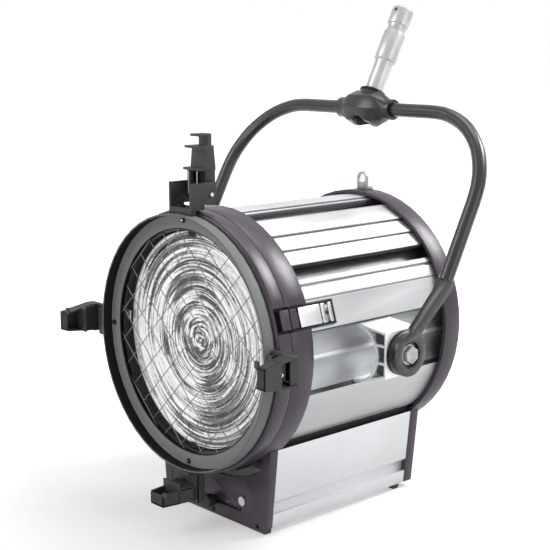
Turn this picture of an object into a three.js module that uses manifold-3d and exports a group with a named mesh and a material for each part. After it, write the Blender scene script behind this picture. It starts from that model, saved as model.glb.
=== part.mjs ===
// Tungsten fresnel light: a round lamp house on a shallow base, hung in a tilting yoke.
// Millimetres. +Z is up and the light shines along -Y.
// The origin is on the underside of the base plate, straight below the tilt axis.
// Head pieces are modelled from the optical axis (x = 0, z = 0) and the front face of
// the lens door (y = 0), and the head group carries them to their height.
import * as THREE from 'three';
import { mergeGeometries, mergeVertices } from 'three/addons/utils/BufferGeometryUtils.js';
import Module from 'manifold-3d';

const wasm = await Module();
wasm.setup();

// Running and seating clearances
const SEAT = 0.3;
const OVERRUN = 4;

// Roundness of turned pieces, in facets per turn
const LARGE_FACETS = 52;
const LENS_FACETS = 40;
const MEDIUM_FACETS = 24;
const SMALL_FACETS = 14;
const HEX = 6;

// The lens and the opening it shows through
const LENS = {
  clearDiameter: 250,
  rimWidth: 5,
  edgeThickness: 3,
  facetRise: 6,
  facetCount: 13,
  firstFallShare: 0.35,
  stepRunShare: 0.125,
  lip: 1.8,
  lipReach: 1,
};

// Wire guard behind the ring flange: how far its rim lies outside the lens
const GUARD = { wire: 1.6, pitch: 26, rimWidth: 6, overlap: 6.7 };

// Castings: lens door, front frame and rear frame. The door's rim stands outside the guard
const CASTING = {
  rimWidth: 18.5,
  wall: 5,
  doorDepth: 20.3,
  frontLength: 31,
  rearLength: 29,
  flange: 6,
  flangeWidth: 16.2,
  edgeRound: 2.5,
};
const BODY_LENGTH = 284.3;

// Accessory ring, pressed from sheet, a little inside the door's rim
const RING = {
  inset: 3.9,
  sheet: 2.1,
  rimReach: 13.9,
  flangeWidth: 18.7,
  foldRadius: 2,
};

// Extruded body panels: how far their crowns lie inside the castings, and angles from the
// top, in degrees
const SHELL = {
  inset: 5.7,
  wall: 3,
  topHalfAngle: 10.3,
  topLineAngle: 7.6,
  shoulderAngles: [18.9, 32, 41, 49],
  shoulderStep: 2.4,
  sideStart: 56,
  beadAngle: 58.6,
  beadWidthAngle: 1,
  beadDepth: 1.6,
  creaseAngle: 65.1,
  channelTopAngle: 79.1,
  channelBottomAngle: 107.4,
  channelLip: 4.2,
  channelDepth: 13,
  channelRidge: 8.5,
  channelRidgeHeight: -4,
  lowerCreaseAngle: 130,
  endAngle: 137.4,
  endInset: 1.5,
  lipDepth: 9,
  crownSteps: 6,
  channelSteps: 5,
  apronSteps: 5,
};

// Heat shield inside the panels, open below
const SHIELD = { depth: 17.5, sheet: 1.5, halfAngle: 122, steps: 22 };

// Base: how far it reaches below the castings, and the tapering side panels. Rises are
// taken from its underside
const BASE = {
  topHalfWidth: 103.1,
  topTuck: 2.23,
  taper: 10.6,
  reach: 58.8,
  skirtReach: 5.2,
  skirtThickness: 4,
  frontSill: 15.5,
  rearSill: 31,
  wall: 3,
  plate: 3,
  frontInset: 14.9,
  rearInset: 15.4,
  frontLength: 11,
  rearLength: 14.7,
  castingWall: 5,
  grooveTopRise: 32.5,
  grooveBottomRise: 16.5,
  grooveDepth: 5,
  grooveBevel: 4,
  doorClearance: 11.8,
  recessHalfWidth: 86,
  recessDepth: 5,
  screwSpread: 79.5,
  screwRise: 0.8,
  screwRadius: 3,
  screwDepth: 3.2,
};
const FOOT = { width: 44, depth: 9, height: 7.6, bevel: 3, sideInset: 3, frontInset: 4.3, rearInset: 19.5 };

// Tilt axis: how far it lies behind the door's front face and below the optical axis
const TILT_DEPTH = 156.5;
const TILT_DROP = 4;
const BRACKET = {
  stand: 40.5,
  length: 52,
  rise: 26.7,
  drop: 26.8,
  footRise: 31.7,
  footDrop: 40.7,
  wall: 3,
  rib: 3,
  ribSpacing: 20.5,
  archRadius: 31.5,
  archInset: 6.5,
  archDrop: 4.5,
};
const PIVOT = {
  boltRadius: 6,
  discRadius: 25.5,
  discThickness: 2.7,
  lockSpacer: 5,
  washerRadius: 12,
  washerThickness: 1.6,
  headRadius: 10.3,
  headHeight: 5.8,
  nutRadius: 7.6,
  nutLength: 8,
};

// Yoke: a bent tube on two cast eyes, leaning back from the tilt axis
const YOKE = {
  lean: 28,
  tubeDiameter: 17,
  splay: 11.7,
  height: 297.5,
  bendRadius: 106,
  bendSteps: 10,
  tubeSteps: 64,
};
// Cast eye: a flat boss, and an arm that leans out and narrows to the tube
const YOKE_EYE = {
  radius: 25.5,
  thickness: 11,
  boreDepth: 5,
  boreRadius: 15,
  stemStart: 30,
  kneeInner: 45,
  kneeOuter: 42,
  kneeReach: 4.2,
  kneeInset: 5,
  slopeEnd: 86,
  innerSlopeEnd: 76,
  top: 92,
  rootHalfWidth: 16,
  waist: 28,
  waistHalfWidth: 7,
  kneeHalfWidth: 6.8,
  belly: 65,
  bellyHalfWidth: 7.5,
  topHalfWidth: 6.8,
};
const CLAMP = {
  length: 90,
  radius: 22.5,
  waistLength: 40,
  collarRadius: 13,
  collarLength: 8,
  padRadius: 16.5,
  holeRadius: 13,
  holeFloor: 12,
  sides: 8,
};
const SPIGOT = {
  radius: 14,
  neckRadius: 11.6,
  length: 118.5,
  shankEnd: 42.5,
  grooveStart: 83.5,
  grooveLength: 11,
  grooveDepth: 2.2,
  tipBevel: 2,
  crossHole: 2.6,
  crossHoleDrop: 6.5,
  stud: 7.6,
  studLength: 12,
};

// Accessory ears on the ring, and the folding ear at the top. A stand is a height over
// the ring
const EAR = {
  innerStand: 20.7,
  outerStand: 34.7,
  rootHalfWidth: 20,
  tipHalfWidth: 13,
  reach: 50,
  wall: 3,
  lipStand: 13.7,
  lip: 3,
  middleLip: 33.5,
  webThickness: 11,
};
const BOTTOM_EAR = { rise: 4.5, frontLipStand: 24.7 };
const LATCH = {
  halfWidth: 20,
  plate: 3,
  front: -10.5,
  rear: 27.5,
  topStand: 35.2,
  tailClearance: 5.8,
  footRear: 9.5,
  footClearance: 0.7,
  footPlate: 2.6,
  pinDepth: 19.8,
  pinStand: 21.3,
  pinRadius: 2.5,
  pinOverhang: 1.5,
};
const FLAP = {
  length: 68,
  tail: 6,
  back: 10.5,
  front: 2.2,
  neckFront: -4.7,
  wall: 2.6,
  legHalfWidth: 14,
  bodyHalfWidth: 12,
  neckHalfWidth: 8,
  ledge: 2.8,
  ledgeReach: 13,
  tipLedgeReach: 7.7,
  lowLedge: 27,
  middleLedge: 52,
  lowLedgeHalfWidth: 15,
};

// Door catch, sunk in the side of the castings
const CATCH = {
  angle: 72,
  halfWidth: 14.2,
  floorDepth: 4.5,
  channelEnd: 95,
  channelWall: 1.3,
  blockHalfWidth: 11,
  blockDepth: 0.9,
  keeperStart: 10.5,
  keeperEnd: 28.5,
  sliderStart: 37.5,
  sliderEnd: 70.4,
  springEnd: 91.4,
  springSheet: 1.2,
  springStand: 1.5,
  springBar: 5,
  springHole: 3,
  travel: 4.4,
};

// Door hinge, on the side away from the catch
const HINGE = { pinRadius: 3, barrelRadius: 6, standOff: 7, knuckle: 18, pinHead: 2 };

// Rods, carriage and optics
const ROD = { radius: 5.75, spread: 52.5, rise: 24.7, proud: 1.5 };
const CARRIAGE = { lampDepth: 146, halfLength: 30, plate: 4, bushWall: 3 };
const LAMP = {
  globeRadius: 20,
  glass: 1.5,
  globeTop: 38,
  globeBottom: 92,
  seatDrop: 127,
  baseHalfWidth: 29,
  baseHalfDepth: 13,
  plugHeight: 8,
  pinRadius: 4.8,
  pinSpread: 19,
  pinLength: 22,
  filamentHalfWidth: 9,
  filamentHalfHeight: 8,
  filamentRuns: 4,
  filamentWire: 1.1,
  filamentSteps: 28,
  postSpread: 12,
  domeSteps: 5,
};
const HOLDER = { halfWidth: 35, halfDepth: 19 };
const REFLECTOR = {
  radius: 70,
  sheet: 1.6,
  halfAngle: 52,
  bowlSteps: 6,
  strapHalfWidth: 12,
  strap: 3,
  strapTop: 14,
  strapBend: 24,
};
const LEVER = {
  slotHalfLength: 50,
  slotHeight: 5.6,
  rise: 13,
  blade: 10,
  knobRadius: 7,
  knobLength: 11,
  knobStandOff: 2,
  tail: 12,
};

// Rear cover, cable gland and safety eye
const REAR = {
  flangeWidth: 32.2,
  overlap: 10,
  sheet: 2.4,
  dish: 9,
  dishInset: 22,
  slotHeight: 5,
  slotPitch: 15,
  slotInset: 16,
};
const GLAND = {
  offset: 62,
  rise: 52,
  hexRadius: 13,
  hexLength: 6,
  nutRadius: 10.5,
  nutLength: 15,
  nutTaperShare: 0.7,
  mouthWall: 2,
  bore: 4.5,
};
const EYE = { width: 17, height: 23, plate: 3.4, hole: 5.6, footDepth: 12, footHeight: 3.2, fromRear: 17 };
const TILT_LOCK = { hubRadius: 12, hubLength: 18, arm: 58, armRadius: 5, armTipRadius: 8 };

// Radii that follow from the lens outwards
const CLEAR_RADIUS = LENS.clearDiameter / 2;
const LENS_RADIUS = CLEAR_RADIUS + LENS.rimWidth;
const GUARD_RADIUS = LENS_RADIUS + GUARD.overlap;
const CASTING_RADIUS = GUARD_RADIUS + CASTING.rimWidth;
const CASTING_BORE = CASTING_RADIUS - CASTING.wall;
const RING_RADIUS = CASTING_RADIUS - RING.inset;
const RING_OPENING = RING_RADIUS - RING.flangeWidth;
const SHELL_RADIUS = CASTING_RADIUS - SHELL.inset;
const SHIELD_RADIUS = SHELL_RADIUS - SHIELD.depth;
const REAR_OPENING = CASTING_BORE - REAR.flangeWidth;

// Height of the optical axis over the base's underside, and drops below the axis
const AXIS_HEIGHT = CASTING_RADIUS + BASE.reach;
const BASE_TOP = Math.sqrt((CASTING_RADIUS - BASE.topTuck) ** 2 - BASE.topHalfWidth ** 2);
const BASE_BOTTOM_HALF_WIDTH = BASE.topHalfWidth - BASE.taper;
const ROD_DROP = AXIS_HEIGHT - ROD.rise;
const LEVER_DROP = AXIS_HEIGHT - LEVER.rise;
const GLAND_DROP = AXIS_HEIGHT - GLAND.rise;

// Materials
const paint = (color, roughness, metalness) => (
  new THREE.MeshStandardMaterial({ color, roughness, metalness }));
const AUBERGINE = paint(0x5c535a, 0.45, 0.1);
const BLACK = paint(0x3c3c3d, 0.55, 0.1);
const DEEP_BLACK = paint(0x151515, 0.8, 0);
const ALUMINIUM = paint(0xdcdcdc, 0.35, 0.9);
const STEEL = paint(0xc8c8c8, 0.3, 1);
const MIRROR = paint(0xf2f2f2, 0.08, 1);
const GLASS = paint(0xf4f8f8, 0.05, 0);
const CERAMIC = paint(0xe9e4d8, 0.6, 0);
const RUBBER = paint(0x39353a, 0.85, 0);
const TUNGSTEN = paint(0x8f8f92, 0.4, 1);

const radians = THREE.MathUtils.degToRad;

// Strips a geometry to merged positions, drops slivers of no area and turns it outwards.
function closed(geometry) {
  const bare = geometry.index ? geometry.toNonIndexed() : geometry.clone();
  bare.deleteAttribute('normal');
  bare.deleteAttribute('uv');
  const merged = mergeVertices(bare);
  const corners = merged.index.array;
  const kept = [];
  for (let i = 0; i < corners.length; i += 3) {
    const [a, b, c] = [corners[i], corners[i + 1], corners[i + 2]];
    if (a !== b && b !== c && c !== a) kept.push(a, b, c);
  }
  merged.setIndex(kept);
  return volumeOf(merged) < 0 ? flipped(merged) : merged;
}

function volumeOf(geometry) {
  const [a, b, c] = [new THREE.Vector3(), new THREE.Vector3(), new THREE.Vector3()];
  const place = geometry.attributes.position;
  const corners = geometry.index.array;
  let volume = 0;
  for (let i = 0; i < corners.length; i += 3) {
    a.fromBufferAttribute(place, corners[i]);
    b.fromBufferAttribute(place, corners[i + 1]);
    c.fromBufferAttribute(place, corners[i + 2]);
    volume += a.dot(b.cross(c)) / 6;
  }
  return volume;
}

function flipped(geometry) {
  const corners = Array.from(geometry.index.array);
  for (let i = 0; i < corners.length; i += 3) {
    [corners[i], corners[i + 1]] = [corners[i + 1], corners[i]];
  }
  geometry.setIndex(corners);
  return geometry;
}

// Booleans
function solid(geometry) {
  const body = closed(geometry);
  return new wasm.Manifold(new wasm.Mesh({
    numProp: 3,
    vertProperties: new Float32Array(body.attributes.position.array),
    triVerts: new Uint32Array(body.index.array),
  }));
}

function geometryOf(manifold) {
  const mesh = manifold.getMesh();
  const geometry = new THREE.BufferGeometry();
  geometry.setAttribute('position', new THREE.BufferAttribute(new Float32Array(mesh.vertProperties), 3));
  geometry.setIndex(Array.from(mesh.triVerts));
  return geometry;
}

const join = (first, ...others) => (
  geometryOf(others.reduce((sum, next) => sum.add(solid(next)), solid(first))));
const cut = (first, ...tools) => (
  geometryOf(tools.reduce((rest, tool) => rest.subtract(solid(tool)), solid(first))));
const common = (first, second) => geometryOf(solid(first).intersect(solid(second)));

// Closed outlines and prisms
function outline(points) {
  return new THREE.Shape(points.map(([u, v]) => new THREE.Vector2(u, v)));
}

function extruded(shape, depth) {
  return new THREE.ExtrudeGeometry(shape, { depth, bevelEnabled: false, curveSegments: SMALL_FACETS });
}

// A prism along X from an outline in (y, z), along Y from (x, z), and along Z from (x, y)
function prismX(shape, from, to) {
  const turn = new THREE.Matrix4().makeBasis(
    new THREE.Vector3(0, 1, 0), new THREE.Vector3(0, 0, 1), new THREE.Vector3(1, 0, 0));
  return extruded(shape, to - from).applyMatrix4(turn).translate(from, 0, 0);
}

function prismY(shape, from, to) {
  return extruded(shape, to - from).rotateX(Math.PI / 2).translate(0, to, 0);
}

function prismZ(shape, from, to) {
  return extruded(shape, to - from).translate(0, 0, from);
}

function block(from, to) {
  const size = to.map((value, i) => value - from[i]);
  const middle = to.map((value, i) => (value + from[i]) / 2);
  return new THREE.BoxGeometry(...size).translate(...middle);
}

// Turned about Y from (radius, y) points. A profile off the axis is closed on itself.
function turned(points, facets) {
  const profile = points.map(([radius, y]) => new THREE.Vector2(radius, y));
  const onAxis = points[0][0] === 0 && points[points.length - 1][0] === 0;
  if (!onAxis) profile.push(profile[0].clone());
  return new THREE.LatheGeometry(profile, facets);
}

const turnedZ = (points, facets) => turned(points, facets).rotateX(Math.PI / 2);
const turnedX = (points, facets) => turned(points, facets).rotateZ(-Math.PI / 2);
const barrel = (radius, from, to, facets) => (
  turned([[0, from], [radius, from], [radius, to], [0, to]], facets));
const barrelX = (radius, from, to, facets) => barrel(radius, from, to, facets).rotateZ(-Math.PI / 2);
const barrelZ = (radius, from, to, facets) => barrel(radius, from, to, facets).rotateX(Math.PI / 2);
const mirrored = (geometry) => geometry.clone().scale(-1, 1, 1);

// A point at a radius and an angle from the top, in the plane across the optical axis
function polar(radius, angle) {
  return [radius * Math.sin(radians(angle)), radius * Math.cos(radians(angle))];
}

function arc(radius, from, to, steps) {
  const points = [];
  for (let i = 0; i <= steps; i += 1) points.push(polar(radius, from + ((to - from) * i) / steps));
  return points;
}

// The scene
const light = new THREE.Group();
const head = new THREE.Group();
head.position.set(0, -TILT_DEPTH, AXIS_HEIGHT);
light.add(head);

function add(group, name, geometry, material) {
  const mesh = new THREE.Mesh(closed(geometry), material);
  mesh.material.flatShading = true;
  mesh.name = name;
  group.add(mesh);
}

// A group turned about the optical axis, so that its +Z is radial at that angle from the top
function clocked(angle) {
  const group = new THREE.Group();
  group.rotation.y = radians(angle);
  head.add(group);
  return group;
}

// Stations along the optical axis
const DOOR_BACK = CASTING.doorDepth;
const FRONT_START = DOOR_BACK + SEAT;
const FRONT_END = FRONT_START + CASTING.frontLength;
const REAR_END = FRONT_START + BODY_LENGTH;
const REAR_START = REAR_END - CASTING.rearLength;
const SHELL_START = FRONT_START + CASTING.flange + SEAT;
const SHELL_END = REAR_END - CASTING.flange - SEAT;
const RING_BACK = -SEAT;
const RING_FRONT = RING_BACK - RING.sheet - RING.rimReach;
const GUARD_RECESS = GUARD.wire + 2 * SEAT;

// Lens door: bore for the lens, recess for the guard, hinge knuckle and catch recess
const LENS_BACK = DOOR_BACK - LENS.lip - SEAT;
const LENS_FRONT = LENS_BACK - LENS.edgeThickness;
const HINGE_X = -(CASTING_RADIUS + HINGE.standOff);
const HINGE_Y = DOOR_BACK + SEAT / 2;

// Floor of the catch's channel, under the crowns of the panels
const CATCH_FLOOR = SHELL_RADIUS - CATCH.floorDepth;

function catchRecess(from, to) {
  const recess = block(
    [-CATCH.halfWidth, from, CATCH_FLOOR],
    [CATCH.halfWidth, to, CASTING_RADIUS + OVERRUN]);
  return recess.rotateY(radians(CATCH.angle));
}

function knuckle(bottom, top, faceFrom, faceTo) {
  const barrelPiece = barrelZ(HINGE.barrelRadius, bottom, top, SMALL_FACETS).translate(HINGE_X, HINGE_Y, 0);
  const leaf = block(
    [HINGE_X, faceFrom, bottom],
    [HINGE_X + HINGE.standOff + CASTING.wall / 2, faceTo, top]);
  return join(barrelPiece, leaf);
}

const pinBore = () => barrelZ(HINGE.pinRadius + SEAT, -CASTING_RADIUS, CASTING_RADIUS, SMALL_FACETS)
  .translate(HINGE_X, HINGE_Y, 0);

function lensDoor() {
  const boreRadius = LENS_RADIUS + SEAT;
  const lipRadius = CLEAR_RADIUS - LENS.lipReach;
  const ring = turned([
    [lipRadius, DOOR_BACK],
    [CASTING_RADIUS, DOOR_BACK],
    [CASTING_RADIUS, CASTING.edgeRound],
    [CASTING_RADIUS - CASTING.edgeRound, 0],
    [GUARD_RADIUS + SEAT, 0],
    [GUARD_RADIUS + SEAT, GUARD_RECESS],
    [boreRadius, GUARD_RECESS],
    [boreRadius, DOOR_BACK - LENS.lip],
    [lipRadius, DOOR_BACK - LENS.lip],
  ], LARGE_FACETS);
  const half = HINGE.knuckle / 2;
  const lug = knuckle(-half, half, HINGE_Y - HINGE.barrelRadius, DOOR_BACK);
  return cut(join(ring, lug), catchRecess(CASTING.edgeRound, DOOR_BACK + OVERRUN), pinBore());
}

add(head, 'lens_door', lensDoor(), AUBERGINE);

// Stepped lens: a flat back, a domed middle and rings that fall away outwards
function lensProfile() {
  const crest = LENS_FRONT - LENS.facetRise;
  const stepRun = LENS.facetRise * LENS.stepRunShare;
  const points = [[0, crest]];
  for (let i = 0; i < LENS.facetCount; i += 1) {
    const start = CLEAR_RADIUS * (i / LENS.facetCount);
    const end = CLEAR_RADIUS * ((i + 1) / LENS.facetCount);
    const outwards = i / (LENS.facetCount - 1);
    const fall = LENS.facetRise * (LENS.firstFallShare + (1 - LENS.firstFallShare) * outwards);
    if (i > 0) points.push([start + stepRun, crest]);
    // A dome has fallen a quarter of its height at half its radius
    if (i === 0) points.push([end / 2, crest + fall / 4]);
    points.push([end, crest + fall]);
  }
  points.push([LENS_RADIUS, LENS_FRONT], [LENS_RADIUS, LENS_BACK], [0, LENS_BACK]);
  return points;
}

add(head, 'lens', turned(lensProfile(), LENS_FACETS), GLASS);

// Black ring that holds the lens against the door's lip and shades its edge
const RETAINER_BACK = LENS_FRONT - SEAT;
add(head, 'lens_retainer', turned([
  [LENS_RADIUS, GUARD_RECESS],
  [LENS_RADIUS, RETAINER_BACK],
  [CLEAR_RADIUS, RETAINER_BACK],
  [CLEAR_RADIUS, RETAINER_BACK - LENS.edgeThickness],
  [LENS_RADIUS - LENS.rimWidth / 3, GUARD_RECESS],
], LARGE_FACETS), DEEP_BLACK);

// Accessory ring: an L section with a folded outer corner
function accessoryRing() {
  const inner = RING_RADIUS - RING.sheet;
  const flangeFront = RING_BACK - RING.sheet;
  return turned([
    [RING_OPENING, flangeFront],
    [inner - RING.foldRadius / 2, flangeFront],
    [inner, flangeFront - RING.foldRadius / 2],
    [inner, RING_FRONT],
    [RING_RADIUS, RING_FRONT],
    [RING_RADIUS, RING_BACK - RING.foldRadius],
    [RING_RADIUS - RING.foldRadius, RING_BACK],
    [RING_OPENING, RING_BACK],
  ], LARGE_FACETS);
}

add(head, 'accessory_ring', accessoryRing(), BLACK);

// Wire guard: a square net set on its corner, cut out of one disc
function wireGuard() {
  const front = SEAT;
  const back = front + GUARD.wire;
  const meshRadius = GUARD_RADIUS - GUARD.rimWidth;
  const gap = GUARD.pitch - GUARD.wire;
  const rows = Math.ceil(meshRadius / GUARD.pitch);
  const holes = [];
  for (let i = -rows; i < rows; i += 1) {
    for (let j = -rows; j < rows; j += 1) {
      const hole = block([-gap / 2, front - OVERRUN, -gap / 2], [gap / 2, back + OVERRUN, gap / 2]);
      holes.push(hole.translate((i + 0.5) * GUARD.pitch, 0, (j + 0.5) * GUARD.pitch));
    }
  }
  const net = mergeGeometries(holes).rotateY(Math.PI / 4);
  const window = barrel(meshRadius, front - OVERRUN, back + OVERRUN, LENS_FACETS);
  return cut(barrel(GUARD_RADIUS, front, back, LENS_FACETS), common(net, window));
}

add(head, 'wire_guard', wireGuard(), STEEL);

// Ears: channels that stand on the ring and reach forward, with lips for the accessories
function ear(rise, frontLipStand) {
  const back = RING_BACK - RING.foldRadius - SEAT;
  const inner = RING_RADIUS + EAR.innerStand + rise;
  const outer = RING_RADIUS + EAR.outerStand + rise;
  const lip = RING_RADIUS + EAR.lipStand + rise;
  const frontLip = RING_RADIUS + frontLipStand;
  const webFront = back - EAR.webThickness;
  const tip = back - EAR.reach;
  const middle = back - EAR.middleLip;
  const side = outline([
    [back, RING_RADIUS - EAR.wall],
    [back, inner],
    [back - EAR.webThickness / 2, outer - EAR.wall],
    [webFront, outer],
    [tip, outer - EAR.wall],
    [tip, frontLip],
    [tip + EAR.lip, frontLip],
    [tip + EAR.lip, inner],
    [middle, inner],
    [middle, lip],
    [middle + EAR.lip, lip],
    [middle + EAR.lip, inner],
    [webFront - EAR.wall, inner],
    [webFront, lip],
    [webFront, RING_RADIUS - EAR.wall],
  ]);
  const plan = outline([
    [-EAR.rootHalfWidth, back + OVERRUN],
    [-EAR.rootHalfWidth, webFront],
    [-EAR.tipHalfWidth, tip - OVERRUN],
    [EAR.tipHalfWidth, tip - OVERRUN],
    [EAR.rootHalfWidth, webFront],
    [EAR.rootHalfWidth, back + OVERRUN],
  ]);
  const form = common(
    prismX(side, -EAR.rootHalfWidth - OVERRUN, EAR.rootHalfWidth + OVERRUN),
    prismZ(plan, 0, outer + OVERRUN));
  const pocketHalf = EAR.tipHalfWidth - EAR.wall;
  const pocket = (from, to) => block(
    [-pocketHalf, from, lip - OVERRUN],
    [pocketHalf, to, outer - 2 * EAR.wall]);
  return cut(form,
    pocket(tip + EAR.lip, middle),
    pocket(middle + EAR.lip, webFront - EAR.wall),
    barrel(RING_RADIUS + SEAT, RING_FRONT - OVERRUN, RING_BACK + OVERRUN, LARGE_FACETS));
}

add(clocked(90), 'ear_right', ear(0, EAR.lipStand), BLACK);
add(clocked(180), 'ear_bottom', ear(BOTTOM_EAR.rise, BOTTOM_EAR.frontLipStand), BLACK);
add(clocked(270), 'ear_left', ear(0, EAR.lipStand), BLACK);

// Folding ear at the top: a U bracket on the ring, a pin and the hinged flap
const PIN_HEIGHT = RING_RADIUS + LATCH.pinStand;

function latchBracket() {
  const seatBack = RING_BACK - RING.foldRadius - SEAT;
  const top = RING_RADIUS + LATCH.topStand;
  const tail = CASTING_RADIUS + LATCH.tailClearance;
  const footUnder = CASTING_RADIUS + LATCH.footClearance;
  const footOver = footUnder + LATCH.footPlate;
  const root = RING_RADIUS - LATCH.plate;
  const cheek = outline([
    [LATCH.front, root],
    [LATCH.front, top],
    [LATCH.rear, top],
    [LATCH.rear, tail],
    [LATCH.footRear, tail],
    [LATCH.footRear, footUnder],
    [seatBack, footUnder],
    [seatBack, root],
  ]);
  const inner = LATCH.halfWidth - LATCH.plate;
  const foot = outline([
    [LATCH.front, root],
    [LATCH.front, footOver],
    [LATCH.footRear, footOver],
    [LATCH.footRear, footUnder],
    [seatBack, footUnder],
    [seatBack, root],
  ]);
  const body = join(
    prismX(cheek, inner, LATCH.halfWidth),
    prismX(cheek, -LATCH.halfWidth, -inner),
    prismX(foot, -LATCH.halfWidth, LATCH.halfWidth));
  const boreEnd = LATCH.halfWidth + OVERRUN;
  const bore = barrelX(LATCH.pinRadius + SEAT, -boreEnd, boreEnd, SMALL_FACETS);
  return cut(body,
    bore.translate(0, LATCH.pinDepth, PIN_HEIGHT),
    barrel(RING_RADIUS + SEAT, RING_FRONT - OVERRUN, RING_BACK + OVERRUN, LARGE_FACETS));
}

add(head, 'latch_bracket', latchBracket(), BLACK);

const flapGroup = new THREE.Group();
flapGroup.position.set(0, LATCH.pinDepth, PIN_HEIGHT);
head.add(flapGroup);

const PIN_HALF_LENGTH = LATCH.halfWidth + LATCH.pinOverhang;
add(flapGroup, 'latch_pin', barrelX(LATCH.pinRadius, -PIN_HALF_LENGTH, PIN_HALF_LENGTH, SMALL_FACETS), STEEL);

function latchFlap() {
  const low = FLAP.lowLedge;
  const middle = FLAP.middleLedge;
  const side = outline([
    [-FLAP.front, -FLAP.tail],
    [FLAP.back, -FLAP.tail],
    [FLAP.back, FLAP.length],
    [-FLAP.tipLedgeReach, FLAP.length],
    [-FLAP.tipLedgeReach, FLAP.length - FLAP.ledge],
    [-FLAP.neckFront, FLAP.length - FLAP.ledge],
    [-FLAP.neckFront, middle + FLAP.ledge],
    [-FLAP.ledgeReach, middle + FLAP.ledge],
    [-FLAP.ledgeReach, middle],
    [-FLAP.front, middle],
    [-FLAP.front, low + FLAP.ledge],
    [-FLAP.ledgeReach, low + FLAP.ledge],
    [-FLAP.ledgeReach, low],
    [-FLAP.front, low],
  ]);
  const face = outline([
    [-FLAP.legHalfWidth, -FLAP.tail],
    [FLAP.legHalfWidth, -FLAP.tail],
    [FLAP.legHalfWidth, low],
    [FLAP.lowLedgeHalfWidth, low],
    [FLAP.lowLedgeHalfWidth, low + FLAP.ledge],
    [FLAP.bodyHalfWidth, middle],
    [FLAP.bodyHalfWidth, middle + FLAP.ledge],
    [FLAP.neckHalfWidth, middle + FLAP.ledge],
    [FLAP.neckHalfWidth, FLAP.length],
    [-FLAP.neckHalfWidth, FLAP.length],
    [-FLAP.neckHalfWidth, middle + FLAP.ledge],
    [-FLAP.bodyHalfWidth, middle + FLAP.ledge],
    [-FLAP.bodyHalfWidth, middle],
    [-FLAP.lowLedgeHalfWidth, low + FLAP.ledge],
    [-FLAP.lowLedgeHalfWidth, low],
    [-FLAP.legHalfWidth, low],
  ]);
  const form = common(
    prismX(side, -FLAP.lowLedgeHalfWidth, FLAP.lowLedgeHalfWidth),
    prismY(face, -FLAP.ledgeReach, FLAP.back));
  const inner = FLAP.legHalfWidth - FLAP.wall;
  const legs = block([-inner, -FLAP.ledgeReach, -FLAP.tail - OVERRUN], [inner, FLAP.back - FLAP.wall, low]);
  const heel = block([-inner, -OVERRUN, -FLAP.tail - OVERRUN], [inner, FLAP.back + OVERRUN, FLAP.tail]);
  const bore = barrelX(LATCH.pinRadius + SEAT, -LATCH.halfWidth, LATCH.halfWidth, SMALL_FACETS);
  return cut(form, legs, heel, bore);
}

add(flapGroup, 'latch_flap', latchFlap(), BLACK);

// Front casting: rim, flange and hinge knuckles
function frontCasting() {
  const flangeRadius = CASTING_BORE - CASTING.flangeWidth;
  const ring = turned([
    [flangeRadius, FRONT_START],
    [CASTING_RADIUS, FRONT_START],
    [CASTING_RADIUS, FRONT_END],
    [CASTING_BORE, FRONT_END],
    [CASTING_BORE, FRONT_START + CASTING.flange],
    [flangeRadius, FRONT_START + CASTING.flange],
  ], LARGE_FACETS);
  const half = HINGE.knuckle / 2 + SEAT;
  const reach = half + HINGE.knuckle;
  const rear = HINGE_Y + HINGE.barrelRadius;
  const upper = knuckle(half, reach, FRONT_START, rear);
  const lower = knuckle(-reach, -half, FRONT_START, rear);
  return cut(join(ring, upper, lower), catchRecess(FRONT_START - OVERRUN, FRONT_END + OVERRUN), pinBore());
}

add(head, 'front_casting', frontCasting(), AUBERGINE);

function hingePin() {
  const end = HINGE.knuckle / 2 + SEAT + HINGE.knuckle;
  const headStart = end + SEAT;
  return join(
    barrelZ(HINGE.pinRadius, -end, headStart, SMALL_FACETS),
    barrelZ(HINGE.pinRadius + HINGE.pinHead, headStart, headStart + HINGE.pinHead, SMALL_FACETS));
}

add(head, 'hinge_pin', hingePin().translate(HINGE_X, HINGE_Y, 0), STEEL);

// Rear casting, dished cover with its vents
add(head, 'rear_casting', turned([
  [REAR_OPENING, REAR_END - CASTING.flange],
  [CASTING_BORE, REAR_END - CASTING.flange],
  [CASTING_BORE, REAR_START],
  [CASTING_RADIUS, REAR_START],
  [CASTING_RADIUS, REAR_END - CASTING.edgeRound],
  [CASTING_RADIUS - CASTING.edgeRound, REAR_END],
  [REAR_OPENING, REAR_END],
], LARGE_FACETS), AUBERGINE);

function rearCover() {
  const seat = REAR_END + SEAT;
  const dishRadius = REAR_OPENING - REAR.dishInset;
  const coverRadius = REAR_OPENING + REAR.overlap;
  const dish = turned([
    [0, seat + REAR.dish],
    [dishRadius, seat + REAR.dish],
    [REAR_OPENING - CASTING.edgeRound, seat],
    [coverRadius, seat],
    [coverRadius, seat + REAR.sheet],
    [REAR_OPENING, seat + REAR.sheet],
    [dishRadius + REAR.sheet, seat + REAR.dish + REAR.sheet],
    [0, seat + REAR.dish + REAR.sheet],
  ], LENS_FACETS);
  const room = dishRadius - REAR.slotInset;
  const rowsEachWay = Math.floor((room - REAR.slotInset) / REAR.slotPitch);
  const slots = [];
  for (let row = -rowsEachWay; row <= rowsEachWay; row += 1) {
    const height = row * REAR.slotPitch;
    const half = Math.sqrt(room * room - height * height);
    slots.push(block(
      [-half, seat, height - REAR.slotHeight / 2],
      [half, seat + REAR.dish + REAR.sheet + OVERRUN, height + REAR.slotHeight / 2]));
  }
  return cut(dish, mergeGeometries(slots));
}

add(head, 'rear_cover', rearCover(), BLACK);

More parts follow.
